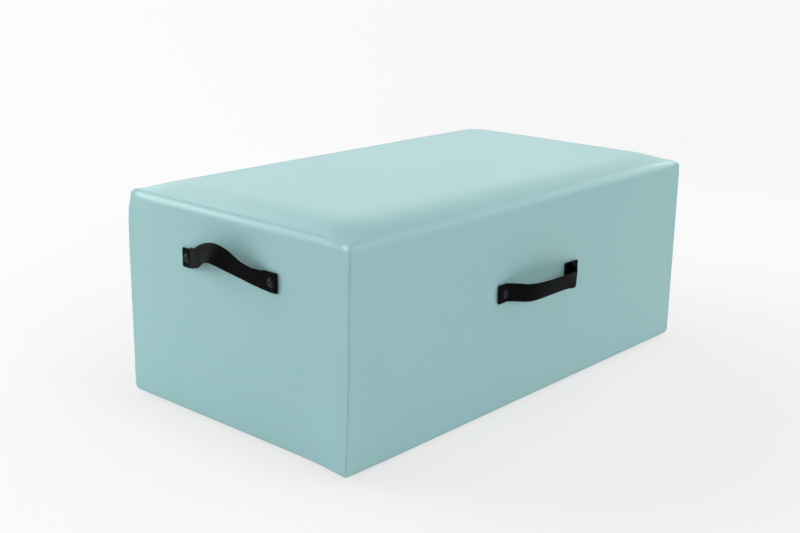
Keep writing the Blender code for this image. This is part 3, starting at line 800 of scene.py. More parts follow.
@dataclass(frozen=True)
class BoxForm:
    """The covered box's outer face: its size, radii, pillowed top and swell, in metres."""

    half_length: float = 0.350
    half_width: float = 0.1975
    edge_height: float = 0.2698
    bottom: float = 0.0013
    top_radius: float = 0.009
    bottom_radius: float = 0.009
    corner_radius: float = 0.0026
    top_corner_radius: float = 0.0016
    rise: float = 0.0137
    rise_reach: float = 0.067
    rise_fullness: float = 2.3
    swell: float = 0.0010
    hem: float = 0.030
    leans: tuple[CornerLean, ...] = (
        CornerLean(-1, -1, 0.045, ((0.02, -0.0058, 0.0014, 0), (0.06, -0.0042, 0.0008, 0),
                                   (0.12, -0.0032, 0.0004, 0), (0.22, -0.0027, 0.0002, 0),
                                   (0.27, -0.0012, 0, 0.0004))),
        CornerLean(-1, 1, 0.030, ((0.20, 0, 0, 0), (0.235, 0.0004, -0.0002, 0),
                                  (0.2698, 0.0030, -0.0020, 0.0028))),
        CornerLean(-1, 1, 0.012, ((0.250, 0, 0, 0), (0.263, 0.0012, -0.0010, 0),
                                  (0.2698, -0.0020, 0.0020, 0.0018))),
        CornerLean(1, -1, 0.012, ((0.250, 0, 0, 0), (0.263, -0.0003, 0.0003, -0.0002),
                                  (0.2698, 0.0020, -0.0020, -0.0002))),
        CornerLean(-1, -1, 0.012, ((0.250, 0, 0, 0), (0.2698, -0.0010, -0.0010, 0.0003))),
    )

    @property
    def wall_height(self) -> float:
        """Where the walls end and the rounding of their upper edges begins."""
        return self.edge_height - self.top_radius

    def rise_share(self, inside: np.ndarray | float) -> np.ndarray | float:
        """How much of the top's rise a place has, by its distance inside one wall."""
        left = 1 - np.clip(np.asarray(inside, float) / self.rise_reach, 0.0, 1.0)
        return 1 - left ** self.rise_fullness

    def rise_at(self, x: np.ndarray | float, y: np.ndarray | float,
                offset: float = 0.0) -> np.ndarray | float:
        """How far the pillowed top stands over its edges.

        Args:
            x: Places along the box.
            y: Places across the box.
            offset: How far inside the outer face the surface lies.

        Returns:
            The rise at each place, in metres.
        """
        return (self.rise * self.rise_share(self.half_length - offset - np.abs(x))
                * self.rise_share(self.half_width - offset - np.abs(y)))

    def outward(self, points: np.ndarray) -> np.ndarray:
        """How far outside the plain walls each point lies, below 0 inside them."""
        return np.maximum(np.abs(points[:, 0]) - self.half_length,
                          np.abs(points[:, 1]) - self.half_width)

    def lean(self, mesh: bpy.types.Mesh) -> None:
        """Draw a skin's corners to where the sewn cover's corners stand."""
        points = read_points(mesh)
        write_points(mesh, points + sum(lean.shift(points, self.half_length, self.half_width)
                                        for lean in self.leans))


@dataclass(frozen=True)
class Level:
    """One level of the covered box's outline."""

    height: float
    inset: float
    corner_radius: float
    swell: float = 0.0
    pillowed: bool = False


def divide(start: float, end: float, step: float,
           zones: Sequence[Triple] = (), least: float = 0.6
           ) -> list[float]:
    """Divide a run, more finely inside given zones.

    Args:
        start: Where the run starts.
        end: Where it ends.
        step: The usual distance between places.
        zones: Each zone's low and high end and the distance between its places.
        least: How short the last distance may be, as a share of the one before.

    Returns:
        The places between the two ends, without the ends themselves.
    """
    places = []
    place = start
    while True:
        stride = next((fine for low, high, fine in zones if low <= place < high), step)
        place += stride
        if place > end - least * stride:
            return places
        places.append(place)


@dataclass
class BoxSkin:
    """A mesh of the covered box's face: level outlines closed by a grid on top.

    The outlines' columns are counted from the middle of each corner, so the fine ones
    beside a corner stay there at every level. Each point keeps its run, the distance
    round the corner from its middle: above 0 along an end wall, below 0 along a long one.
    Points far from a corner have a run of 1 or -1.
    """

    form: BoxForm
    offset: float
    spacing: float
    arc_rows: int
    corner_places: Sequence[float]
    side_zones: Sequence[Triple] = ()
    height_zones: Sequence[Triple] = ()
    least_radius: float = 0.0005
    corner_share: float = 0.020
    points: list = field(default_factory=list)
    runs: list = field(default_factory=list)
    faces: list = field(default_factory=list)
    rings: list = field(default_factory=list)

    def levels(self) -> list[Level]:
        """Divide the face from the hem's edge up to the end of the top's rounding.

        Returns:
            The levels, the lowest first.
        """
        form, corner = self.form, self.form.corner_radius
        bottom = form.bottom + self.offset
        low_radius = form.bottom_radius - self.offset
        top_radius = form.top_radius - self.offset
        low, high = bottom + low_radius, form.wall_height
        made = [Level(bottom, low_radius + form.hem * share, corner)
                for share in (1.0, 0.8, 0.4)]
        for degrees in range(0, 91, 15):
            angle = math.radians(degrees)
            made.append(Level(low - low_radius * math.cos(angle),
                              low_radius * (1 - math.sin(angle)), corner))
        for height in divide(low, high, self.spacing, self.height_zones):
            share = (height - low) / (high - low)
            made.append(Level(height, 0.0, corner, math.sin(math.pi * share)))
        for step in range(self.arc_rows + 1):
            angle = math.radians(90 * step / self.arc_rows)
            climb = math.sin(angle)
            made.append(Level(high + top_radius * climb, top_radius * (1 - math.cos(angle)),
                              corner + (form.top_corner_radius - corner) * climb,
                              pillowed=True))
        return made

    def side_run(self, level: Level, along_x: bool) -> list[Triple]:
        """Place one side's columns at a level, from corner middle to corner middle.

        Args:
            level: The level.
            along_x: Whether the side runs along X.

        Returns:
            Each column's place along the side, its distance out and its run.
        """
        form = self.form
        half_run = form.half_length if along_x else form.half_width
        reach = half_run - self.offset - level.inset
        out = (form.half_width if along_x else form.half_length) - self.offset - level.inset
        radius = max(level.corner_radius - self.offset / 2, self.least_radius)
        quarter = radius * math.pi / 4
        sign = -1 if along_x else 1
        near = []
        for run in self.corner_places:
            if run <= quarter:
                angle = math.pi / 4 - run / radius
                near.append((reach - radius + radius * math.sin(angle),
                             out - radius + radius * math.cos(angle), sign * run))
            else:
                near.append((reach - radius - (run - quarter), out, sign * run))
        inner = near[-1][0]
        full = half_run - self.corner_share
        half = [place * inner / full
                for place in divide(0.0, full, self.spacing, self.side_zones)]
        middle = [(place, out, sign)
                  for place in [-place for place in reversed(half)] + [0.0] + half]
        columns = [(-along, away, run) for along, away, run in near] + middle
        columns += list(reversed(near[1:]))
        swell = form.swell * level.swell
        return [(along, away + swell * max(1 - (along / reach) ** 2, 0.0), run)
                for along, away, run in columns]

    def add_ring(self, level: Level) -> None:
        """Add one closed outline, starting at the corner at high X and Y.

        Args:
            level: The outline's level.
        """
        ring = []
        for side in range(4):
            for along, out, run in self.side_run(level, side % 2 == 0):
                x, y = ((-along, out), (-out, -along), (along, -out), (out, along))[side]
                lift = float(self.form.rise_at(x, y, self.offset)) if level.pillowed else 0.0
                ring.append(len(self.points))
                self.points.append((x, y, level.height + lift))
                self.runs.append(run)
        self.rings.append(ring)

    def build(self) -> "BoxSkin":
        """Fill in the points and faces of the outlines and of the top.

        Returns:
            This skin.
        """
        levels = self.levels()
        for level in levels:
            self.add_ring(level)
        count = len(self.rings[0])
        for lower, upper in zip(self.rings, self.rings[1:]):
            for index in range(count):
                after = (index + 1) % count
                self.faces.append((lower[index], lower[after], upper[after], upper[index]))
        self._close_top(len(self.side_run(levels[-1], True)),
                        len(self.side_run(levels[-1], False)))
        return self

    def _close_top(self, columns: int, rows: int) -> None:
        """Close the last outline with a grid that its four sides lead into.

        Args:
            columns: How many columns a side along X has.
            rows: How many a side along Y has.
        """
        rim = np.array(self.rings[-1])
        starts = (0, columns, columns + rows, 2 * columns + rows)
        back, left, front, right = (rim[np.arange(start, start + count + 1) % len(rim)]
                                    for start, count in zip(starts, (columns, rows) * 2))
        grid = np.zeros((rows + 1, columns + 1), int)
        grid[0], grid[-1] = front, back[::-1]
        grid[:, 0], grid[:, -1] = left[::-1], right
        place = np.array(self.points)
        edge = self.form.edge_height - self.offset
        for row in range(1, rows):
            for column in range(1, columns):
                x = (place[grid[0, column]][0] + place[grid[-1, column]][0]) / 2
                y = (place[grid[row, 0]][1] + place[grid[row, -1]][1]) / 2
                lift = float(self.form.rise_at(x, y, self.offset))
                grid[row, column] = len(self.points)
                self.points.append((x, y, edge + lift))
                self.runs.append(1.0)
        for lower, upper in zip(grid, grid[1:]):
            self.faces += zip(lower, lower[1:], upper[1:], upper)


@dataclass(frozen=True)
class Stretch:
    """The cloth simulation that swells the cover between the places that hold it.

    tab_box is the field that a handle's doubled end holds, in the handle's own frame: its
    start and end along the wall, and how far it reaches out of the wall and up it.
    """

    spacing: float = 0.012
    arc_rows: int = 3
    corner_places: tuple[float, ...] = (0.0, 0.0035, 0.0090, 0.0180)
    start_inset: float = 0.0003
    hem_height: float = 0.008
    seam_reach: float = 0.0040
    tab_box: Quad = (0.054, 0.090, 0.010, 0.014)
    pressure: float = 4.0
    stiffness: float = 300.0
    bending: float = 4.0
    mass: float = 0.3
    damping: float = 4.0
    quality: int = 8
    frames: int = 20
    cap: float = 0.0016
    top_share: float = 0.15
    neighbours: int = 6
    least_distance: float = 0.001
    flat_zone: Pair = (0.5, 0.9)

    def _held(self, points: np.ndarray, runs: np.ndarray, form: BoxForm,
              handles: Sequence["GrabHandle"]) -> np.ndarray:
        """Find the points that the hem, the ridge, the seams and the handles hold.

        Args:
            points: The coarse skin's points.
            runs: Their distances round their corners.
            form: The covered box's form.
            handles: The handles.

        Returns:
            Whether each point is held.
        """
        height = points[:, 2]
        held = height < form.bottom + self.hem_height
        held |= (np.abs(runs) < self.seam_reach) & (height < form.edge_height)
        held |= (height > form.wall_height) & (form.outward(points) > -form.top_radius)
        start, end, out, up = self.tab_box
        for handle in handles:
            local = np.abs(handle.in_frame(points))
            held |= ((local[:, 0] > start) & (local[:, 0] < end) & (local[:, 2] < up)
                     & (local[:, 1] < out))
        return held

    def _simulate(self, item: bpy.types.Object, held: np.ndarray) -> None:
        """Let a skin swell as cloth, and leave it as it then stands.

        Args:
            item: The skin.
            held: Whether each of its points is held.
        """
        group = item.vertex_groups.new(name="held")
        group.add([int(index) for index in np.flatnonzero(held)], 1.0, "REPLACE")
        cloth = item.modifiers.new("stretch", "CLOTH")
        for key, value in {
                "quality": self.quality, "mass": self.mass, "air_damping": self.damping,
                "tension_stiffness": self.stiffness, "shear_stiffness": self.stiffness,
                "compression_stiffness": self.stiffness, "bending_stiffness": self.bending,
                "use_pressure": True, "uniform_pressure_force": self.pressure,
                "vertex_group_mass": group.name}.items():
            setattr(cloth.settings, key, value)
        cloth.settings.effector_weights.gravity = 0.0
        cloth.collision_settings.use_collision = False
        cloth.point_cache.frame_start = 1
        cloth.point_cache.frame_end = self.frames
        scene = bpy.context.scene
        for number in range(1, self.frames + 1):
            scene.frame_set(number)
        settle(item)
        scene.frame_set(1)

    def run(self, form: BoxForm, handles: Sequence["GrabHandle"]
            ) -> tuple[np.ndarray, np.ndarray, np.ndarray]:
        """Swell a coarse copy of the cover under pressure.

        Args:
            form: The covered box's form.
            handles: The handles that hold the cover to its walls.

        Returns:
            The coarse points, their normals, and how far each stands out of the form.
        """
        skin = BoxSkin(replace(form, swell=0.0), self.start_inset, self.spacing,
                       self.arc_rows, self.corner_places).build()
        item = new_mesh_object("stretched_cover", skin.points, skin.faces)
        start, normals = read_points(item.data), read_normals(item.data)
        held = self._held(start, np.array(skin.runs), form, handles)
        self._simulate(item, held)
        moved = ((read_points(item.data) - start) * normals).sum(axis=1)
        bpy.data.objects.remove(item, do_unlink=True)
        moved = self.cap * np.tanh(moved / self.cap)
        return start, normals, moved - self.start_inset * (1 - held)

    def carry(self, stretched: tuple[np.ndarray, np.ndarray, np.ndarray],
              points: np.ndarray, normals: np.ndarray) -> np.ndarray:
        """Carry the coarse skin's swell over to a finer one.

        Args:
            stretched: What run() gave.
            points: The finer skin's points.
            normals: Its normals.

        Returns:
            How far each finer point moves along its normal, in metres.
        """
        start, faced, swell = stretched
        tree = kdtree.KDTree(len(start))
        for index, place in enumerate(start):
            tree.insert(place, index)
        tree.balance()
        carried = np.zeros(len(points))
        for index, place in enumerate(points):
            total = weight = 0.0
            for _, near, away in tree.find_n(place, self.neighbours):
                facing = max(float(faced[near] @ normals[index]), 0.0)
                share = facing / (away + self.least_distance) ** 2
                total += share * swell[near]
                weight += share
            carried[index] = total / weight if weight else 0.0
        flat_up = smooth_step(normals[:, 2], *self.flat_zone)
        return carried * (1 - (1 - self.top_share) * flat_up)


@dataclass
class Cover:
    """The sewn vinyl cover: one top and four walls, joined by seams at the four corners."""

    form: BoxForm
    palette: Palette
    thickness: float = 0.0012
    spacing: float = 0.008
    arc_rows: int = 14
    side_zones: tuple = ((0.048, 0.096, 0.0033),)
    height_zones: tuple = ((0.138, 0.230, 0.0035), (0.230, 0.262, 0.0026))
    corner_places: tuple = (0, 0.00012, 0.00025, 0.0004, 0.0006, 0.00095, 0.0014, 0.0020,
                            0.0028, 0.0040, 0.0058, 0.0080, 0.0105, 0.0135, 0.017)
    seam_top: float = 0.2685
    seam_fade: float = 0.005
    seam_depth: float = 0.0004
    seam_width: float = 0.00034
    lip: float = 0.00010
    lip_place: float = 0.0014
    lip_width: float = 0.0008
    gather_depth: float = 0.0004
    gather_pitch: float = 0.0165
    gather_start: float = 0.004
    gather_reach: float = 0.028
    gather_height: float = 0.0055
    gather_inside: float = 0.011
    long_side_share: float = 0.3
    tab_start: float = 0.057
    tab_margin: float = 0.0012
    tab_half_width: float = 0.0122
    wall_reach: float = 0.008
    press_zone: Pair = (0.0005, 0.0050)
    puff_zone: Pair = (0.004, 0.022)
    puff: float = 0.00030
    gather_drop: float = 0.35
    wave_drop: float = 0.3
    wave_reach: float = 0.010
    wave_zone: Pair = (0.010, 0.030)
    short_wave: Triple = (0.00012, 0.028, 3.1)
    long_wave: Triple = (0.00024, 0.110, 7.7)
    stretch: Stretch = field(default_factory=Stretch)

    def build(self, handles: Sequence["GrabHandle"]) -> bpy.types.Object:
        """Make the cover, with its seams and holes, and let it stand for the CAD one.

        Args:
            handles: The handles that are screwed on through it.

        Returns:
            The cover.
        """
        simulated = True
        form = replace(self.form, swell=0.0) if simulated else self.form
        skin = BoxSkin(form, 0.0, self.spacing, self.arc_rows, self.corner_places,
                       self.side_zones, self.height_zones).build()
        cover = new_mesh_object("vinyl_cover", skin.points, skin.faces)
        mesh = cover.data
        if simulated:
            stretched = self.stretch.run(self.form, handles)
            raise_points(mesh, self.stretch.carry(stretched, read_points(mesh),
                                                  read_normals(mesh)))
        points, runs = read_points(mesh), np.array(skin.runs)
        raise_points(mesh, self._seam_relief(points, runs) + self._unevenness(points)
                     + self._gathers(points, runs))
        form.lean(mesh)
        self._press_under_tabs(mesh, handles)
        thicken(cover, self.thickness, -1.0)
        for handle in handles:
            cut_away(cover, handle.bore_cutter())
        shade(cover.data)
        dress(cover, self.palette.vinyl)
        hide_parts("cover")
        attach(cover, "root")
        return cover

    def _press_under_tabs(self, mesh: bpy.types.Mesh, handles: Sequence["GrabHandle"]
                          ) -> None:
        """Press the skin flat under each doubled end, and let it puff up round it.

        Args:
            mesh: The skin's mesh.
            handles: The handles.
        """
        points = read_points(mesh)
        for handle in handles:
            local = handle.in_frame(points)
            along, up = np.abs(local[:, 0]), np.abs(local[:, 2])
            beyond = along - handle.shape.fold_station - self.tab_margin
            beside = np.maximum(np.maximum(self.tab_start - along, beyond), 0.0)
            away = np.hypot(beside, np.maximum(up - self.tab_half_width, 0.0))
            on_wall = np.abs(local[:, 1]) < self.wall_reach
            press = (1 - smooth_step(away, *self.press_zone)) * on_wall
            puff = (1 - smooth_step(away, *self.puff_zone)) * (1 - press) * on_wall
            local[:, 1] += press * np.maximum(-handle.under_face - local[:, 1], 0.0)
            local[:, 1] -= self.puff * puff
            points = handle.out_of_frame(local)
        write_points(mesh, points)

    def _gathers(self, points: np.ndarray, runs: np.ndarray) -> np.ndarray:
        """Find the small pleats that the cover takes up at the ends of its upper edges.

        Args:
            points: The skin's points.
            runs: Their distances round their corners.

        Returns:
            How far each point is raised, in metres.
        """
        form = self.form
        ridge = form.edge_height - self.gather_drop * form.top_radius
        along = np.abs(runs)
        near = (np.exp(-(along / self.gather_reach) ** 2)
                * np.exp(-((points[:, 2] - ridge) / self.gather_height) ** 2))
        inside = form.outward(points) > -self.gather_inside
        ripple = np.cos(math.tau * (along - self.gather_start) / self.gather_pitch)
        return (self.gather_depth * near * inside * ripple
                * np.where(runs > 0, 1.0, self.long_side_share))

    def _seam_relief(self, points: np.ndarray, runs: np.ndarray) -> np.ndarray:
        """Find the relief of the corner seams: a narrow groove between two low lips.

        Args:
            points: The skin's points.
            runs: Their distances round their corners.

        Returns:
            How far each point is raised, in metres.
        """
        off = np.abs(runs)
        fade = 1 - smooth_step(points[:, 2], self.seam_top - self.seam_fade, self.seam_top)
        groove = -self.seam_depth * np.exp(-(off / self.seam_width) ** 2)
        lips = self.lip * np.exp(-((off - self.lip_place) / self.lip_width) ** 2)
        return fade * (groove + lips)

    def _unevenness(self, points: np.ndarray) -> np.ndarray:
        """Find the slight waves of a hand-stretched cover, the short ones at its upper edges.

        Each wave is given by its height, its length and its noise's seed.

        Args:
            points: The skin's points.

        Returns:
            How far each point is raised, in metres.
        """
        ridge = self.form.edge_height - self.wave_drop * self.form.top_radius
        near_edge = np.exp(-((points[:, 2] - ridge) / self.wave_reach) ** 2)
        short, *short_noise = self.short_wave
        long, *long_noise = self.long_wave
        return smooth_step(points[:, 2], *self.wave_zone) * (
            short * near_edge * noise_at(points, *short_noise)
            + long * noise_at(points, *long_noise))


@dataclass
class Padding:
    """The foam under the cover: a thick top pad and a thin pad on each wall."""

    form: BoxForm
    palette: Palette
    top_voxel: float = 0.0045
    wall_voxel: float = 0.003
    ease: float = 0.5
    ease_rounds: int = 2
    skin: float = 0.0002
    cell: float = 0.006
    cell_seed: float = 1.3

    def build(self) -> list[bpy.types.Object]:
        """Make the five pads, each in the space of its CAD solid."""
        return [self._build_pad(f"{side}_foam")
                for side in ("top", "front", "back", "left", "right")]

    def _build_pad(self, node: str) -> bpy.types.Object:
        """Make one pad: cut foam with soft edges and an open-celled face.

        Args:
            node: The CAD pad's name.

        Returns:
            The pad.
        """
        pad = link_object(f"{node}_pad", frame["nodes"][node].data.copy())
        remesh = pad.modifiers.new("cells", "REMESH")
        remesh.mode = "VOXEL"
        remesh.voxel_size = self.top_voxel if node == "top_foam" else self.wall_voxel
        settle(pad)
        ease = pad.modifiers.new("ease", "SMOOTH")
        ease.factor = self.ease
        ease.iterations = self.ease_rounds
        settle(pad)
        cells = noise_at(read_points(pad.data), self.cell, self.cell_seed)
        raise_points(pad.data, -self.skin * (1 + cells))
        self.form.lean(pad.data)
        shade(pad.data)
        dress(pad, self.palette.foam)
        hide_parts(node)
        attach(pad, "root")
        return pad


@dataclass
class Carcass:
    """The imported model's own rigid pieces inside the cover, each in its finish."""

    palette: Palette

    BOARD_AXES = {"base_board": Axis.Z, "top_board": Axis.Z, "front_board": Axis.Y,
                  "back_board": Axis.Y, "left_board": Axis.X, "right_board": Axis.X,
                  "centre_rib": Axis.X}

    def dress_nodes(self) -> list[str]:
        """Give every board, post, nut and base screw its finish.

        Returns:
            Their names.
        """
        done = []
        for name, node in frame["nodes"].items():
            if name in self.BOARD_AXES:
                dress(node, self.palette.plywood[self.BOARD_AXES[name]])
            elif name.endswith("_post"):
                dress(node, self.palette.pine)
            elif name.endswith(("_base_screw", "_nut_a", "_nut_b")):
                dress(node, self.palette.zinc_steel)
            else:
                continue
            done.append(name)
        return done


@dataclass
class DustCover:
    """The black cloth under the base: stretched, its edge turned in, and stapled."""

    palette: Palette
    turned_edge: float = 0.014
    turn_rows: tuple = ((-0.0002, 0.00070), (0.0004, 0.00088), (0.006, 0.00092))
    turn_level: float = 0.00088
    cloth: float = 0.00022
    level: float = 0.00050
    slack: float = 0.00035
    slack_zone: Pair = (0.004, 0.060)
    wave: float = 0.00008
    wave_size: float = 0.05
    pull: float = 0.00030
    pull_reach: float = 0.008
    spacing: float = 0.007
    staple_pitch: float = 0.045
    staple_inset: float = 0.006
    staple_width: float = 0.010
    staple_level: float = 0.00042
    staple_bend: float = 0.0005
    staple_legs: Pair = (0.00012, 0.00032)
    wire_width: float = 0.00072
    wire_height: float = 0.000315

    def build(self) -> list[bpy.types.Object]:
        """Make the cloth and its row of staples."""
        low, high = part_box("dust_cover")
        return [self._build_cloth(low, high), self._build_staples(low, high)]

    def _staple_places(self, low: Vector, high: Vector) -> list[tuple[float, float, bool]]:
        """Space the staples evenly along the four edges.

        Args:
            low: The cloth's lowest corner.
            high: Its highest corner.

        Returns:
            Each staple's middle, and whether its crown runs along X.
        """
        places = []
        for axis in (0, 1):
            first, last = low[axis], high[axis]
            count = round((last - first) / self.staple_pitch)
            edges = (low[1 - axis] + self.staple_inset, high[1 - axis] - self.staple_inset)
            for index in range(count):
                along = first + (last - first) * (index + 0.5) / count
                places += [(along, edge, True) if axis == 0 else (edge, along, False)
                           for edge in edges]
        return places

    def _build_cloth(self, low: Vector, high: Vector) -> bpy.types.Object:
        """Make the sheet, pressed up at each staple and slack between them.

        Args:
            low: The cloth's lowest corner.
            high: Its highest corner.

        Returns:
            The cloth.
        """
        staples = np.array([(x, y) for x, y, _ in self._staple_places(low, high)])
        columns = round((high.x - low.x) / self.spacing) + 1
        rows = round((high.y - low.y) / self.spacing) + 1
        points = []
        for y in np.linspace(low.y, high.y, rows):
            for x in np.linspace(low.x, high.x, columns):
                near = np.min(np.hypot(staples[:, 0] - x, staples[:, 1] - y))
                edge = min(x - low.x, high.x - x, y - low.y, high.y - y)
                slack = self.slack * float(smooth_step(edge, *self.slack_zone))
                wave = self.wave * noise.noise(Vector((x, y, 0)) / self.wave_size)
                pull = self.pull * math.exp(-(near / self.pull_reach) ** 2)
                points.append((x, y, self.level + pull - slack + wave))
        grid = np.arange(rows * columns).reshape(rows, columns)
        faces = [face for lower, upper in zip(grid, grid[1:])
                 for face in zip(lower, upper, upper[1:], lower[1:])]
        rim = np.concatenate([grid[0], grid[1:, -1], grid[-1, -2::-1], grid[-2:0:-1, 0]])
        self._add_turned_edge(points, faces, rim, low, high)
        cloth = new_mesh_object("underside_dust_cover", points, faces)
        thicken(cloth, self.cloth, 0.0)
        dress(cloth, self.palette.dust_cloth)
        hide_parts("dust_cover")
        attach(cloth, "root")
        return cloth

    def _add_turned_edge(self, points: list, faces: list, rim: np.ndarray,
                         low: Vector, high: Vector) -> None:
        """Add the strip that is turned in between the sheet and the base.

        Args:
            points: The sheet's points, which the strip's are added to.
            faces: The sheet's faces, likewise.
            rim: The numbers of the points round the sheet's edge.
            low: The cloth's lowest corner.
            high: Its highest corner.
        """

        def drawn(value: float, axis: int, inset: float) -> float:
            """Draw a rim point's coordinate in, or out where the inset is below 0."""
            if inset > 0:
                return min(max(value, low[axis] + inset), high[axis] - inset)
            return value + math.copysign(-inset, value) * (abs(value) > high[axis] - 1e-6)

        previous = rim
        for inset, level in (*self.turn_rows, (self.turned_edge, self.turn_level)):
            fresh = [len(points) + step for step in range(len(rim))]
            points += [(drawn(points[index][0], 0, inset), drawn(points[index][1], 1, inset),
                        level) for index in rim]
            for index in range(len(rim)):
                after = (index + 1) % len(rim)
                faces.append((previous[index], previous[after], fresh[after], fresh[index]))
            previous = fresh

    def _build_staples(self, low: Vector, high: Vector) -> bpy.types.Object:
        """Make the staples' crowns, bent down into short legs at both ends.

        Args:
            low: The cloth's lowest corner.
            high: Its highest corner.

        Returns:
            The staples, as one object.
        """
        half, (knee, tip) = self.staple_width / 2, self.staple_legs
        bend = [(-half, tip), (-half, knee), (-half + self.staple_bend, 0.0), (0, 0.0),
                (half - self.staple_bend, 0.0), (half, knee), (half, tip)]
        points, faces = [], []
        for x, y, along_x in self._staple_places(low, high):
            faces += ring_faces(len(bend), 4, len(points))
            for along, depth in bend:
                for across, up in ((-0.5, -0.5), (0.5, -0.5), (0.5, 0.5), (-0.5, 0.5)):
                    place = Vector((along, across * self.wire_width,
                                    self.staple_level + depth + up * self.wire_height))
                    if not along_x:
                        place = Vector((-place.y, place.x, place.z))
                    points.append(Vector((x, y, 0)) + place)
        staples = new_mesh_object("dust_cover_staples", points, faces, smooth=False)
        dress(staples, self.palette.zinc_steel)
        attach(staples, "root")
        return staples


@dataclass
class Strap:
    """One length of webbing, as a thick ribbon along a line of places."""

    width: float = 0.024
    thickness: float = 0.00150
    across: int = 26
    rib_depth: float = 0.00005
    selvedge: int = 14
    under_shift: float = 0.001

    UV_MAP = "webbing"

    def section(self) -> list[Pair]:
        """Find the webbing's cross-section: flat ribbed faces and rounded selvedges.

        Returns:
            Places across the webbing and out of it, round its section.
        """
        half = self.width / 2
        ribs = []
        for step in range(self.across + 1):
            along = -1 + 2 * step / self.across
            swell = (1 - abs(along) ** self.selvedge) ** 0.5 if abs(along) < 1 else 0.0
            rib = self.rib_depth * math.cos(step * math.pi)
            ribs.append((half * along, (self.thickness / 2 - self.rib_depth + rib) * swell))
        return ribs + [(across, -away) for across, away in reversed(ribs[1:-1])]

    def build(self, name: str, centres: np.ndarray, widths: np.ndarray) -> bpy.types.Object:
        """Make the ribbon.

        Args:
            name: The object's name.
            centres: The places of its middle line, in metres.
            widths: The direction across it at each place.

        Returns:
            The strap, with the distance along and across it as its UV map.
        """
        tangents = np.gradient(centres, axis=0)
        tangents /= np.linalg.norm(tangents, axis=1)[:, None]
        normals = np.cross(tangents, widths)
        normals /= np.linalg.norm(normals, axis=1)[:, None]
        across = np.cross(normals, tangents)
        section = self.section()
        points = [centre + side * width + away * normal
                  for centre, width, normal in zip(centres, across, normals)
                  for side, away in section]
        strap = new_mesh_object(name, points, ring_faces(len(centres), len(section)))
        steps = np.linalg.norm(np.diff(centres, axis=0), axis=1)
        run = np.concatenate(([0.0], np.cumsum(steps)))
        layer = strap.data.uv_layers.new(name=self.UV_MAP)
        around = [side + (0 if index <= self.across else self.under_shift)
                  for index, (side, _) in enumerate(section)]
        for loop in strap.data.loops:
            row, index = divmod(loop.vertex_index, len(section))
            layer.data[loop.index].uv = (run[row], around[index])
        return strap


@dataclass
class ArchShape:
    """How one handle's loop stands.

    Each row of the track is a place of the strap's middle line: along the wall, out of it
    and up, in metres, and the strap's lean there in degrees.
    """

    track: Sequence[Quad]
    rise: float
    blend_start: float
    blend_end: float
    fold_station: float
    tail_stations: Pair


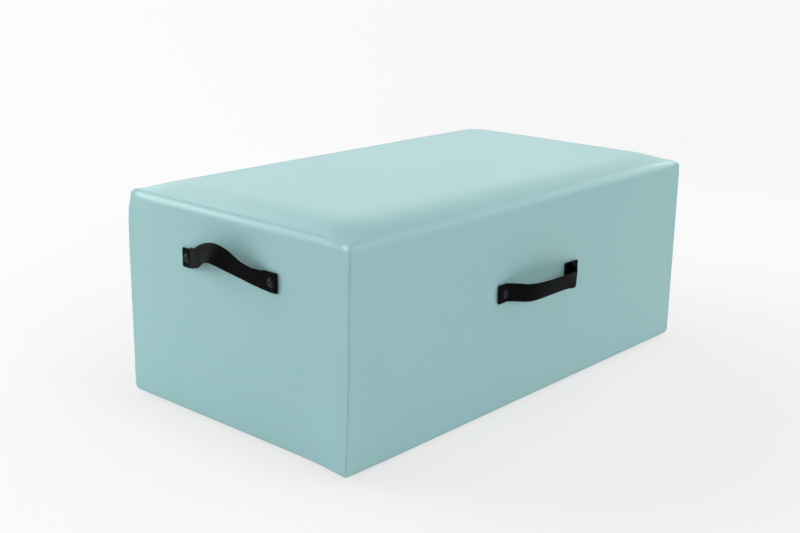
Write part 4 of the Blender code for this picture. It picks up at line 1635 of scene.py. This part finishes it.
@dataclass
class Fastener:
    """A button head screw with a hexagon socket, and the washer under it, in metres."""

    palette: Palette
    head_radius: float = 0.00475
    head_height: float = 0.0017
    head_flat: float = 0.0023
    head_fullness: float = 0.85
    head_chamfer: Pair = (0.0003, 0.0002)
    neck: float = 0.0001
    rim: float = 0.0004
    socket: float = 0.0032
    socket_mouth: float = 1.10
    socket_bevel: float = 0.00018
    socket_depth: float = 0.0011
    drill_rings: tuple = ((0.0011, 0.0002), (0.0002, 0.0007))
    shank_radius: float = 0.0024
    shank_length: float = 0.0305
    thread_length: float = 0.012
    thread_depth: float = 0.00035
    threads: int = 28
    washer_radius: float = 0.0060
    washer_thickness: float = 0.0006
    washer_play: float = 0.0003
    broken_edge: float = 0.00015
    crisp_angle: float = 32
    segments: int = 48

    def _hexagon(self, height: float, size: float = 1.0) -> list[Triple]:
        """Space points round the socket's hexagon.

        Args:
            height: Their height.
            size: Their hexagon's size as a share of the socket's.

        Returns:
            The points.
        """
        made = []
        for index in range(self.segments):
            turn = math.tau * index / self.segments
            flat = (turn + math.pi / 6) % (math.pi / 3) - math.pi / 6
            radius = size * self.socket / 2 / math.cos(flat)
            made.append((radius * math.cos(turn), radius * math.sin(turn), height))
        return made

    def build_screw(self, name: str, seat: float) -> bpy.types.Object:
        """Make a screw whose head lies on a seat, its shank running down local Z.

        Args:
            name: The object's name.
            seat: The height of the head's underside.

        Returns:
            The screw.
        """
        rim, top = seat + self.rim, seat + self.head_height
        bed = top - self.socket_depth
        profile = [(self.shank_radius - (self.thread_depth if step % 2 else 0.0),
                    seat - self.shank_length + self.thread_length * step / self.threads)
                   for step in range(self.threads + 1)]
        inward, upward = self.head_chamfer
        profile += [(self.shank_radius, seat - self.neck), (self.head_radius - inward, seat),
                    (self.head_radius, seat + upward), (self.head_radius, rim)]
        for degrees in range(9, 91, 9):
            angle = math.radians(degrees)
            profile.append((self.head_flat + (self.head_radius - self.head_flat)
                            * math.cos(angle) ** self.head_fullness,
                            rim + (self.head_height - self.rim) * math.sin(angle)))
        rings = [circle(radius, height, self.segments) for radius, height in profile]
        rings += [self._hexagon(top, self.socket_mouth),
                  self._hexagon(top - self.socket_bevel), self._hexagon(bed)]
        rings += [circle(radius, bed - depth, self.segments)
                  for radius, depth in self.drill_rings]
        return self._turn(name, rings, False)

    def build_washer(self, name: str, seat: float) -> bpy.types.Object:
        """Make a flat washer, with its edges broken.

        Args:
            name: The object's name.
            seat: The height of its underside.

        Returns:
            The washer.
        """
        inner, outer = self.shank_radius + self.washer_play, self.washer_radius
        broken = self.broken_edge
        top = seat + self.washer_thickness
        profile = [(inner, seat + broken), (inner + broken, seat), (outer - broken, seat),
                   (outer, seat + broken), (outer, top - broken), (outer - broken, top),
                   (inner + broken, top), (inner, top - broken)]
        return self._turn(name, [circle(radius, height, self.segments)
                                 for radius, height in profile], True)

    def _turn(self, name: str, rings: Sequence[Sequence[Triple]],
              closed: bool) -> bpy.types.Object:
        """Make a turned piece with crisp edges in black steel.

        Args:
            name: The object's name.
            rings: Its rings of points.
            closed: Whether the last ring leads back to the first.

        Returns:
            The piece.
        """
        item = new_mesh_object(name, [point for ring in rings for point in ring],
                               ring_faces(len(rings), self.segments, closed=closed))
        work = bmesh.new()
        work.from_mesh(item.data)
        bmesh.ops.recalc_face_normals(work, faces=work.faces)
        for edge in work.edges:
            edge.smooth = edge.calc_face_angle(0.0) < math.radians(self.crisp_angle)
        work.to_mesh(item.data)
        work.free()
        dress(item, self.palette.black_steel)
        return item


@dataclass
class GrabHandle:
    """One webbing handle: a strap folded double at both ends and screwed to its wall."""

    wall: Wall
    shape: ArchShape
    palette: Palette
    strap: Strap = field(default_factory=Strap)
    screw_station: float = 0.0745
    ply_stations: Pair = (0.071, 0.079)
    fold_margin: float = 0.001
    under_ply: float = -0.00167
    under_gap: float = 0.0002
    washer_seat: float = 0.00036
    head_seat: float = 0.00096
    dimple_depth: float = 0.00042
    dimple_zone: Pair = (0.0060, 0.0092)
    ply_zone: Pair = (-0.0003, 0.0003)
    bore_radius: float = 0.0027
    bore_sides: int = 24
    bore_length: float = 0.030
    bore_turn: float = 4.3
    screw_turn: float = 17
    screw_turn_step: float = 11
    step: float = 0.0014

    @property
    def label(self) -> str:
        """The handle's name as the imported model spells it."""
        return f"{self.wall.label}_handle"

    @property
    def hinge(self) -> Matrix:
        """The frame on the fold line: +X along the wall, -Y out of it, +Z up."""
        joint = next(row for row in frame["joints"] if row["child"] == self.label)
        return Matrix.Translation(joint["pos_m"]) @ self.wall.spin

    @property
    def under_face(self) -> float:
        """Where the cover's face lies under the doubled ends, out from the fold line."""
        return self.under_ply - self.strap.thickness / 2 - self.under_gap

    def in_frame(self, points: np.ndarray) -> np.ndarray:
        """Turn places in the scene into places in the handle's own frame."""
        turn = np.array(self.hinge.inverted())
        return points @ turn[:3, :3].T + turn[:3, 3]

    def out_of_frame(self, points: np.ndarray) -> np.ndarray:
        """Turn places in the handle's own frame into places in the scene."""
        turn = np.array(self.hinge)
        return points @ turn[:3, :3].T + turn[:3, 3]

    def screw_frame(self, base: Matrix, side: int, turn: float) -> Matrix:
        """The frame of one screw, +Z out of the wall, by the frame of the handle."""
        return (base @ Matrix.Translation((side * self.screw_station, 0, 0))
                @ Matrix.Rotation(math.radians(90), 4, "X")
                @ Matrix.Rotation(math.radians(turn), 4, "Z"))

    def bore_cutter(self) -> bpy.types.Object:
        """Make two rods where the screws pass through the soft layers.

        Returns:
            The rods, as one object.
        """
        work = bmesh.new()
        for side in (-1, 1):
            place = self.screw_frame(Matrix.Identity(4), side, self.bore_turn)
            bmesh.ops.create_cone(work, cap_ends=True, segments=self.bore_sides,
                                  radius1=self.bore_radius, radius2=self.bore_radius,
                                  depth=self.bore_length, matrix=place)
        bmesh.ops.recalc_face_normals(work, faces=work.faces)
        mesh = bpy.data.meshes.new("bores")
        work.to_mesh(mesh)
        work.free()
        mesh.transform(self.hinge)
        return link_object("bores", mesh)

    def _end_line(self, side: int) -> list[Quad]:
        """Place the doubled end's line, from its raw end round the fold to the washer.

        Args:
            side: -1 for the end at low X in the handle's own frame, 1 for the other.

        Returns:
            Rows like those of the shape's track.
        """
        fold = self.shape.fold_station
        tail = self.shape.tail_stations[side > 0]
        line = [(station, self.under_ply)
                for station in (tail, *self.ply_stations, fold - self.fold_margin)]
        middle = self.under_ply / 2
        for degrees in range(-60, 61, 30):
            angle = math.radians(degrees)
            line.append((fold + abs(middle) * math.cos(angle),
                         middle + abs(middle) * math.sin(angle)))
        line += [(station, 0.0) for station in (fold - self.fold_margin,
                                                self.ply_stations[1], self.screw_station)]
        return [(side * station, out, 0.0, 0.0) for station, out in line]

    def build_strap(self) -> bpy.types.Object:
        """Make the strap.

        Returns:
            The strap.
        """
        knots = self._end_line(-1) + list(self.shape.track) + self._end_line(1)[::-1]
        station, out, height, lean = even_spline(np.array(knots), self.step).T
        centres = np.stack([station, -out, height], axis=1)
        lean = np.radians(lean)
        widths = np.stack([np.zeros_like(lean), np.sin(lean), np.cos(lean)], axis=1)
        strap = self.strap.build(f"{self.label}_strap", centres, widths)
        strap.data.transform(self.hinge)
        cut_away(strap, self.bore_cutter(), folded=True)
        self._dimple(strap.data)
        shade(strap.data)
        dress(strap, self.palette.webbing)
        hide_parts(f"{self.label}_loop", f"{self.label}_tab_a", f"{self.label}_tab_b")
        rise = math.radians(self.shape.rise)
        away = self.hinge.to_3x3() @ Vector((0, -math.cos(rise), math.sin(rise)))
        fold = self.hinge.translation
        self.label
        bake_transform(strap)
        return strap

    def _dimple(self, mesh: bpy.types.Mesh) -> None:
        """Press the outer ply in under each washer.

        Args:
            mesh: The strap's mesh.
        """
        points = self.in_frame(read_points(mesh))
        for side in (-1, 1):
            away = np.hypot(points[:, 0] - side * self.screw_station, points[:, 2])
            press = 1 - smooth_step(away, *self.dimple_zone)
            outer = smooth_step(-points[:, 1], *self.ply_zone)
            points[:, 1] += self.dimple_depth * press * outer
        write_points(mesh, self.out_of_frame(points))

    def build_fasteners(self, fastener: Fastener) -> list[bpy.types.Object]:
        """Make the two screws and their washers, in the places of the CAD ones.

        Args:
            fastener: What makes them.

        Returns:
            The washers and screws.
        """
        made = []
        for end, side in (("a", -1), ("b", 1)):
            place = self.screw_frame(self.hinge, side,
                                     self.screw_turn + self.screw_turn_step * side)
            washer = fastener.build_washer(f"{self.label}_flat_washer_{end}",
                                           self.washer_seat)
            screw = fastener.build_screw(f"{self.label}_button_screw_{end}", self.head_seat)
            for kind, piece in (("washer", washer), ("screw", screw)):
                piece.data.transform(place)
                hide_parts(f"{self.label}_{kind}_{end}")
                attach(piece, "root")
                made.append(piece)
        return made


def between(first: np.ndarray, second: np.ndarray, start: float, end: float, time: float
            ) -> np.ndarray:
    """The row between two rows at a time between theirs."""
    return (end - time) / (end - start) * first + (time - start) / (end - start) * second


def even_spline(knots: np.ndarray, step: float, fine: int = 24, least: int = 8) -> np.ndarray:
    """Run a smooth line through knots and divide it evenly.

    Args:
        knots: Rows that the line passes through, each a place and what goes with it.
        step: The wanted distance between the places, in metres.
        fine: How many parts of each span the line is measured by.
        least: The least number of places.

    Returns:
        Rows along the line, evenly spaced by their places.
    """
    chords = np.sqrt(np.linalg.norm(np.diff(knots[:, :3], axis=0), axis=1))
    times = np.concatenate(([0.0], np.cumsum(chords)))
    padded = np.vstack([2 * knots[0] - knots[1], knots, 2 * knots[-1] - knots[-2]])
    clock = np.concatenate(([2 * times[0] - times[1]], times, [2 * times[-1] - times[-2]]))
    line = []
    for index in range(1, len(knots)):
        p0, p1, p2, p3 = padded[index - 1:index + 3]
        t0, t1, t2, t3 = clock[index - 1:index + 3]
        for time in np.linspace(t1, t2, fine, endpoint=False):
            a1, a2, a3 = (between(p0, p1, t0, t1, time), between(p1, p2, t1, t2, time),
                          between(p2, p3, t2, t3, time))
            line.append(between(between(a1, a2, t0, t2, time),
                                between(a2, a3, t1, t3, time), t1, t2, time))
    line = np.array([*line, knots[-1]])
    strides = np.linalg.norm(np.diff(line[:, :3], axis=0), axis=1)
    run = np.concatenate(([0.0], np.cumsum(strides)))
    places = np.linspace(0.0, run[-1], max(int(run[-1] / step), least))
    return np.stack([np.interp(places, run, column) for column in line.T], axis=1)


SIDE_ARCH = ArchShape(
    track=[(-0.0696, 0.0000, 0.0002, -3.0), (-0.0646, 0.0043, 0.0002, -3.8),
           (-0.0583, 0.0104, -0.0002, -5.1), (-0.0508, 0.0163, -0.0011, -6.3),
           (-0.0413, 0.0207, -0.0013, -7.6), (-0.0293, 0.0232, -0.0011, -10.3),
           (-0.0152, 0.0242, -0.0009, -13.0), (-0.0001, 0.0245, -0.0009, -14.5),
           (0.0149, 0.0245, -0.0009, -15.2), (0.0285, 0.0242, -0.0011, -14.9),
           (0.0398, 0.0236, -0.0018, -12.1), (0.0486, 0.0222, -0.0029, -7.5),
           (0.0555, 0.0191, -0.0031, -3.3), (0.0606, 0.0146, -0.0025, -1.8),
           (0.0645, 0.0088, -0.0016, -1.0), (0.0672, 0.0038, -0.0007, -0.5),
           (0.0698, 0.0004, 0.0000, 0.0)],
    rise=-2.2, blend_start=0.0015, blend_end=0.018, fold_station=0.0853,
    tail_stations=(0.0672, 0.0590))

END_ARCH = ArchShape(
    track=[(-0.0698, 0.0002, 0.0003, 0.5), (-0.0662, 0.0018, 0.0020, 1.8),
           (-0.0595, 0.0054, 0.0054, 2.0), (-0.0502, 0.0104, 0.0068, 0.5),
           (-0.0397, 0.0147, 0.0098, -0.2), (-0.0295, 0.0178, 0.0152, 3.0),
           (-0.0198, 0.0210, 0.0200, 10.5), (-0.0109, 0.0237, 0.0233, 17.5),
           (-0.0031, 0.0254, 0.0252, 22.5), (0.0036, 0.0260, 0.0259, 23.0),
           (0.0092, 0.0253, 0.0249, 16.5), (0.0140, 0.0232, 0.0228, 7.5),
           (0.0192, 0.0198, 0.0190, -2.0), (0.0253, 0.0163, 0.0148, -10.5),
           (0.0323, 0.0127, 0.0105, -17.4), (0.0401, 0.0089, 0.0066, -20.1),
           (0.0482, 0.0056, 0.0034, -18.6), (0.0566, 0.0029, 0.0017, -13.4),
           (0.0653, 0.0008, 0.0005, -5.0)],
    rise=43.6, blend_start=0.0085, blend_end=0.025, fold_station=0.0827,
    tail_stations=(0.0660, 0.0590))


@dataclass(frozen=True)
class SoftLamp:
    """One round soft lamp: its direction from the box in degrees, size and power.

    A lamp without sheen lights the box but isn't mirrored in its glossy faces.
    """

    name: str
    azimuth: float
    elevation: float
    size: float
    power: float
    sheen: bool = True

    def hang(self, middle: Vector, distance: float) -> None:
        """Hang the lamp.

        Args:
            middle: What it points at.
            distance: How far away it hangs, in metres.
        """
        turn, climb = math.radians(self.azimuth), math.radians(self.elevation)
        away = Vector((math.cos(turn) * math.cos(climb), math.sin(turn) * math.cos(climb),
                       math.sin(climb)))
        data = bpy.data.lights.new(self.name, "AREA")
        data.shape = "DISK"
        data.size = self.size
        data.energy = self.power
        lamp = link_object(self.name, data)
        lamp.location = middle + away * distance
        lamp.rotation_euler = (-away).to_track_quat("-Z", "Y").to_euler()
        lamp.visible_camera = False
        lamp.visible_glossy = self.sheen


@dataclass
class Studio:
    """A pale floor under soft light: lamps round the box and a low glow all about it.

    To the camera and in reflections the floor is a mix of a glowing tone and of its lit
    face, which carries the box's soft shadow. The glowing tone is painted light: a painted
    shade darkens it round the box, and far off it is darker towards +X, a painted fall-off
    of the studio light. Its spans hold where a change starts and ends and the values there.
    The tone is near's by the distance from the middle, and side's by the bearing from there
    where far has taken over. Its share is set by the place along X or by clear_round's span
    over the distance, whichever is more; to the left of the box the larger share paints
    light over most of the box's shadow.
    """

    floor_radii: tuple = (0.5, 1.0, 2.0, 4.0, 8.0, 16.0)
    floor_sides: int = 64
    floor_drop: float = 0.0002
    floor_tone: float = 0.80
    floor_roughness: float = 0.9
    least_away: float = 0.1
    # near, side and far shape the floor's painted light: painted shade round the box and a
    # painted fall-off towards +X.
    near: tuple = (0.36, 0.70, 0.925, 0.975)
    side: tuple = (0.45, 0.95, 0.975, 0.928)
    far: tuple = (0.70, 2.0)
    # The glow's share by the place along X: to the left of the box it paints light over the box's
    # shadow.
    clear_left: tuple = (-0.46, -0.32, 0.90, 0.72)
    clear_round: tuple = (0.55, 1.4, 0.72, 1.0)
    backdrop: float = 0.97
    glow_angles: Triple = (8.0, 16.0, 30.0)
    glow_edge: float = 0.02
    low_glow: float = 2.18
    high_glow: float = 1.10
    lamp_distance: float = 2.6
    lamp_aim: Triple = (0.0, 0.0, 0.2)

    LAMPS = (SoftLamp("back_key", 118, 28, 1.1, 21.5),
             SoftLamp("right_key", 0, 12, 0.7, 18.2), SoftLamp("overhead", 0, 90, 1.4, 17.1),
             SoftLamp("front_high", 300, 60, 1.4, 14.1),
             SoftLamp("back_left", 135, 14, 0.7, 10.4, False),
             SoftLamp("front_fill", 250, 25, 1.4, 7.2),
             SoftLamp("back_low", 95, 14, 0.7, 4.4), SoftLamp("back_high", 75, 40, 0.7, 4.1),
             SoftLamp("right_high", 0, 25, 0.7, 2.8), SoftLamp("back_right", 75, 14, 0.7, 2.2))

    def build(self) -> None:
        """Make the floor, the world and the lamps."""
        self._build_floor()
        self._build_world()
        for lamp in self.LAMPS:
            lamp.hang(Vector(self.lamp_aim), self.lamp_distance)

    def _build_floor(self) -> None:
        """Make the floor: a glowing tone with painted shade round the box and a painted fall-off
        of light, mixed with its lit face and the box's soft shadow, painted over to the left.
        """
        count = self.floor_sides
        points = [(0.0, 0.0, -self.floor_drop)]
        for radius in self.floor_radii:
            points += circle(radius, -self.floor_drop, count)
        faces = [(0, 1 + index, 1 + (index + 1) % count) for index in range(count)]
        for inner in range(1, 1 + (len(self.floor_radii) - 1) * count, count):
            for index in range(count):
                after = (index + 1) % count
                faces.append((inner + index, inner + count + index, inner + count + after,
                              inner + after))
        floor = new_mesh_object("studio_floor", points, faces)
        material = bpy.data.materials.new("pale_floor")
        material.use_nodes = True
        dress(floor, material)
        desk = NodeDesk(material.node_tree)
        shader = desk.feed(desk.tree.nodes["Principled BSDF"], {
            "Base Color": (*(self.floor_tone,) * 3, 1.0),
            "Roughness": self.floor_roughness, "Specular IOR Level": 0.0})
        place = desk.place()
        away = desk.add("ShaderNodeVectorMath", {0: place}, operation="LENGTH").outputs["Value"]
        across = desk.add("ShaderNodeSeparateXYZ", {0: place}).outputs["X"]
        bearing = desk.maths("DIVIDE", across, desk.maths("MAXIMUM", away, self.least_away))
        # Painted light: the glowing tone is darker round the box, a painted shade, and far off
        # darker towards +X, a painted fall-off.
        tone = desk.mix(desk.span(away, *self.far), desk.span(away, *self.near),
                        desk.span(bearing, *self.side))
        glow = desk.add("ShaderNodeEmission", {"Color": (1.0, 1.0, 1.0, 1.0),
                                               "Strength": tone})
        rays = desk.add("ShaderNodeLightPath").outputs
        seen = desk.maths("MAXIMUM", rays["Is Camera Ray"], rays["Is Glossy Ray"])
        # Painted light: left of the box the glow's larger share paints over the box's real
        # shadow.
        clear = desk.maths("MAXIMUM", desk.span(across, *self.clear_left),
                           desk.span(away, *self.clear_round))
        desk.blend_shaders(desk.times(seen, clear), shader, glow, "Material Output")

    def _build_world(self) -> None:
        """Light the scene from two soft bands over the horizon, white behind the floor."""
        world = bpy.data.worlds.new("studio_world")
        world.use_nodes = True
        bpy.context.scene.world = world
        desk = NodeDesk(world.node_tree)
        parts = desk.add("ShaderNodeSeparateXYZ",
                         {0: desk.add("ShaderNodeTexCoord").outputs["Generated"]})
        climb = desk.maths("ARCSINE", parts.outputs["Z"])
        bands = ((0.0, 1.0), (1.0, self.high_glow / self.low_glow), (1.0, 0.0))
        low, drop, fade = (
            desk.span(climb, math.radians(angle) - self.glow_edge,
                      math.radians(angle) + self.glow_edge, *levels)
            for angle, levels in zip(self.glow_angles, bands))
        strength = desk.times(desk.times(desk.times(low, self.low_glow), drop), fade)
        light = desk.feed(desk.tree.nodes["Background"], {"Color": (1.0, 1.0, 1.0, 1.0),
                                                          "Strength": strength})
        white = desk.add("ShaderNodeBackground", {"Color": (*(self.backdrop,) * 3, 1.0),
                                                  "Strength": 1.0})
        rays = desk.add("ShaderNodeLightPath").outputs
        desk.blend_shaders(rays["Is Camera Ray"], light, white, "World Output")


@dataclass
class PhotoCamera:
    """A camera where the photograph was taken from, its roll in degrees."""

    place: Triple = (-1.2341, -1.0464, 0.5945)
    aim: Triple = (-0.0263, 0.0193, 0.1413)
    roll: float = 0.834
    focal_length: float = 54.05
    sensor_width: float = 36.0
    clip: Pair = (0.05, 60.0)

    def build(self) -> bpy.types.Object:
        """Make the camera and let the scene use it.

        Returns:
            The camera.
        """
        data = bpy.data.cameras.new("photo_camera")
        data.lens = self.focal_length
        data.sensor_width = self.sensor_width
        data.clip_start, data.clip_end = self.clip
        camera = link_object("photo_camera", data)
        look = (Vector(self.aim) - Vector(self.place)).to_track_quat("-Z", "Y").to_matrix()
        turn = look.to_4x4() @ Matrix.Rotation(math.radians(self.roll), 4, "Z")
        camera.matrix_world = Matrix.Translation(self.place) @ turn
        bpy.context.scene.camera = camera
        return camera


def report(pieces: Iterable[bpy.types.Object]) -> None:
    """Log each piece's name and how many faces it has."""
    for piece in pieces:
        LOG.info("%s: %d faces", piece.name, len(piece.data.polygons))


def main() -> None:
    """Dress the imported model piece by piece, and set up the studio and the camera."""
    logging.basicConfig(level=logging.INFO, format="%(name)s: %(message)s")
    bpy.context.scene.view_settings.view_transform = "Standard"
    palette = Palette()
    LOG.info("camera: %s", PhotoCamera().build().name)
    fastener = Fastener(palette)
    handles = [GrabHandle(wall, SIDE_ARCH if wall in (Wall.FRONT, Wall.BACK) else END_ARCH,
                          palette) for wall in Wall]
    form = BoxForm()
    report([Cover(form, palette).build(handles)])
    report(Padding(form, palette).build())
    for handle in handles:
        report([handle.build_strap(), *handle.build_fasteners(fastener)])
    report(DustCover(palette).build())
    LOG.info("carcass: %d nodes dressed", len(Carcass(palette).dress_nodes()))
    Studio().build()


if __name__ == "__main__":
    main()
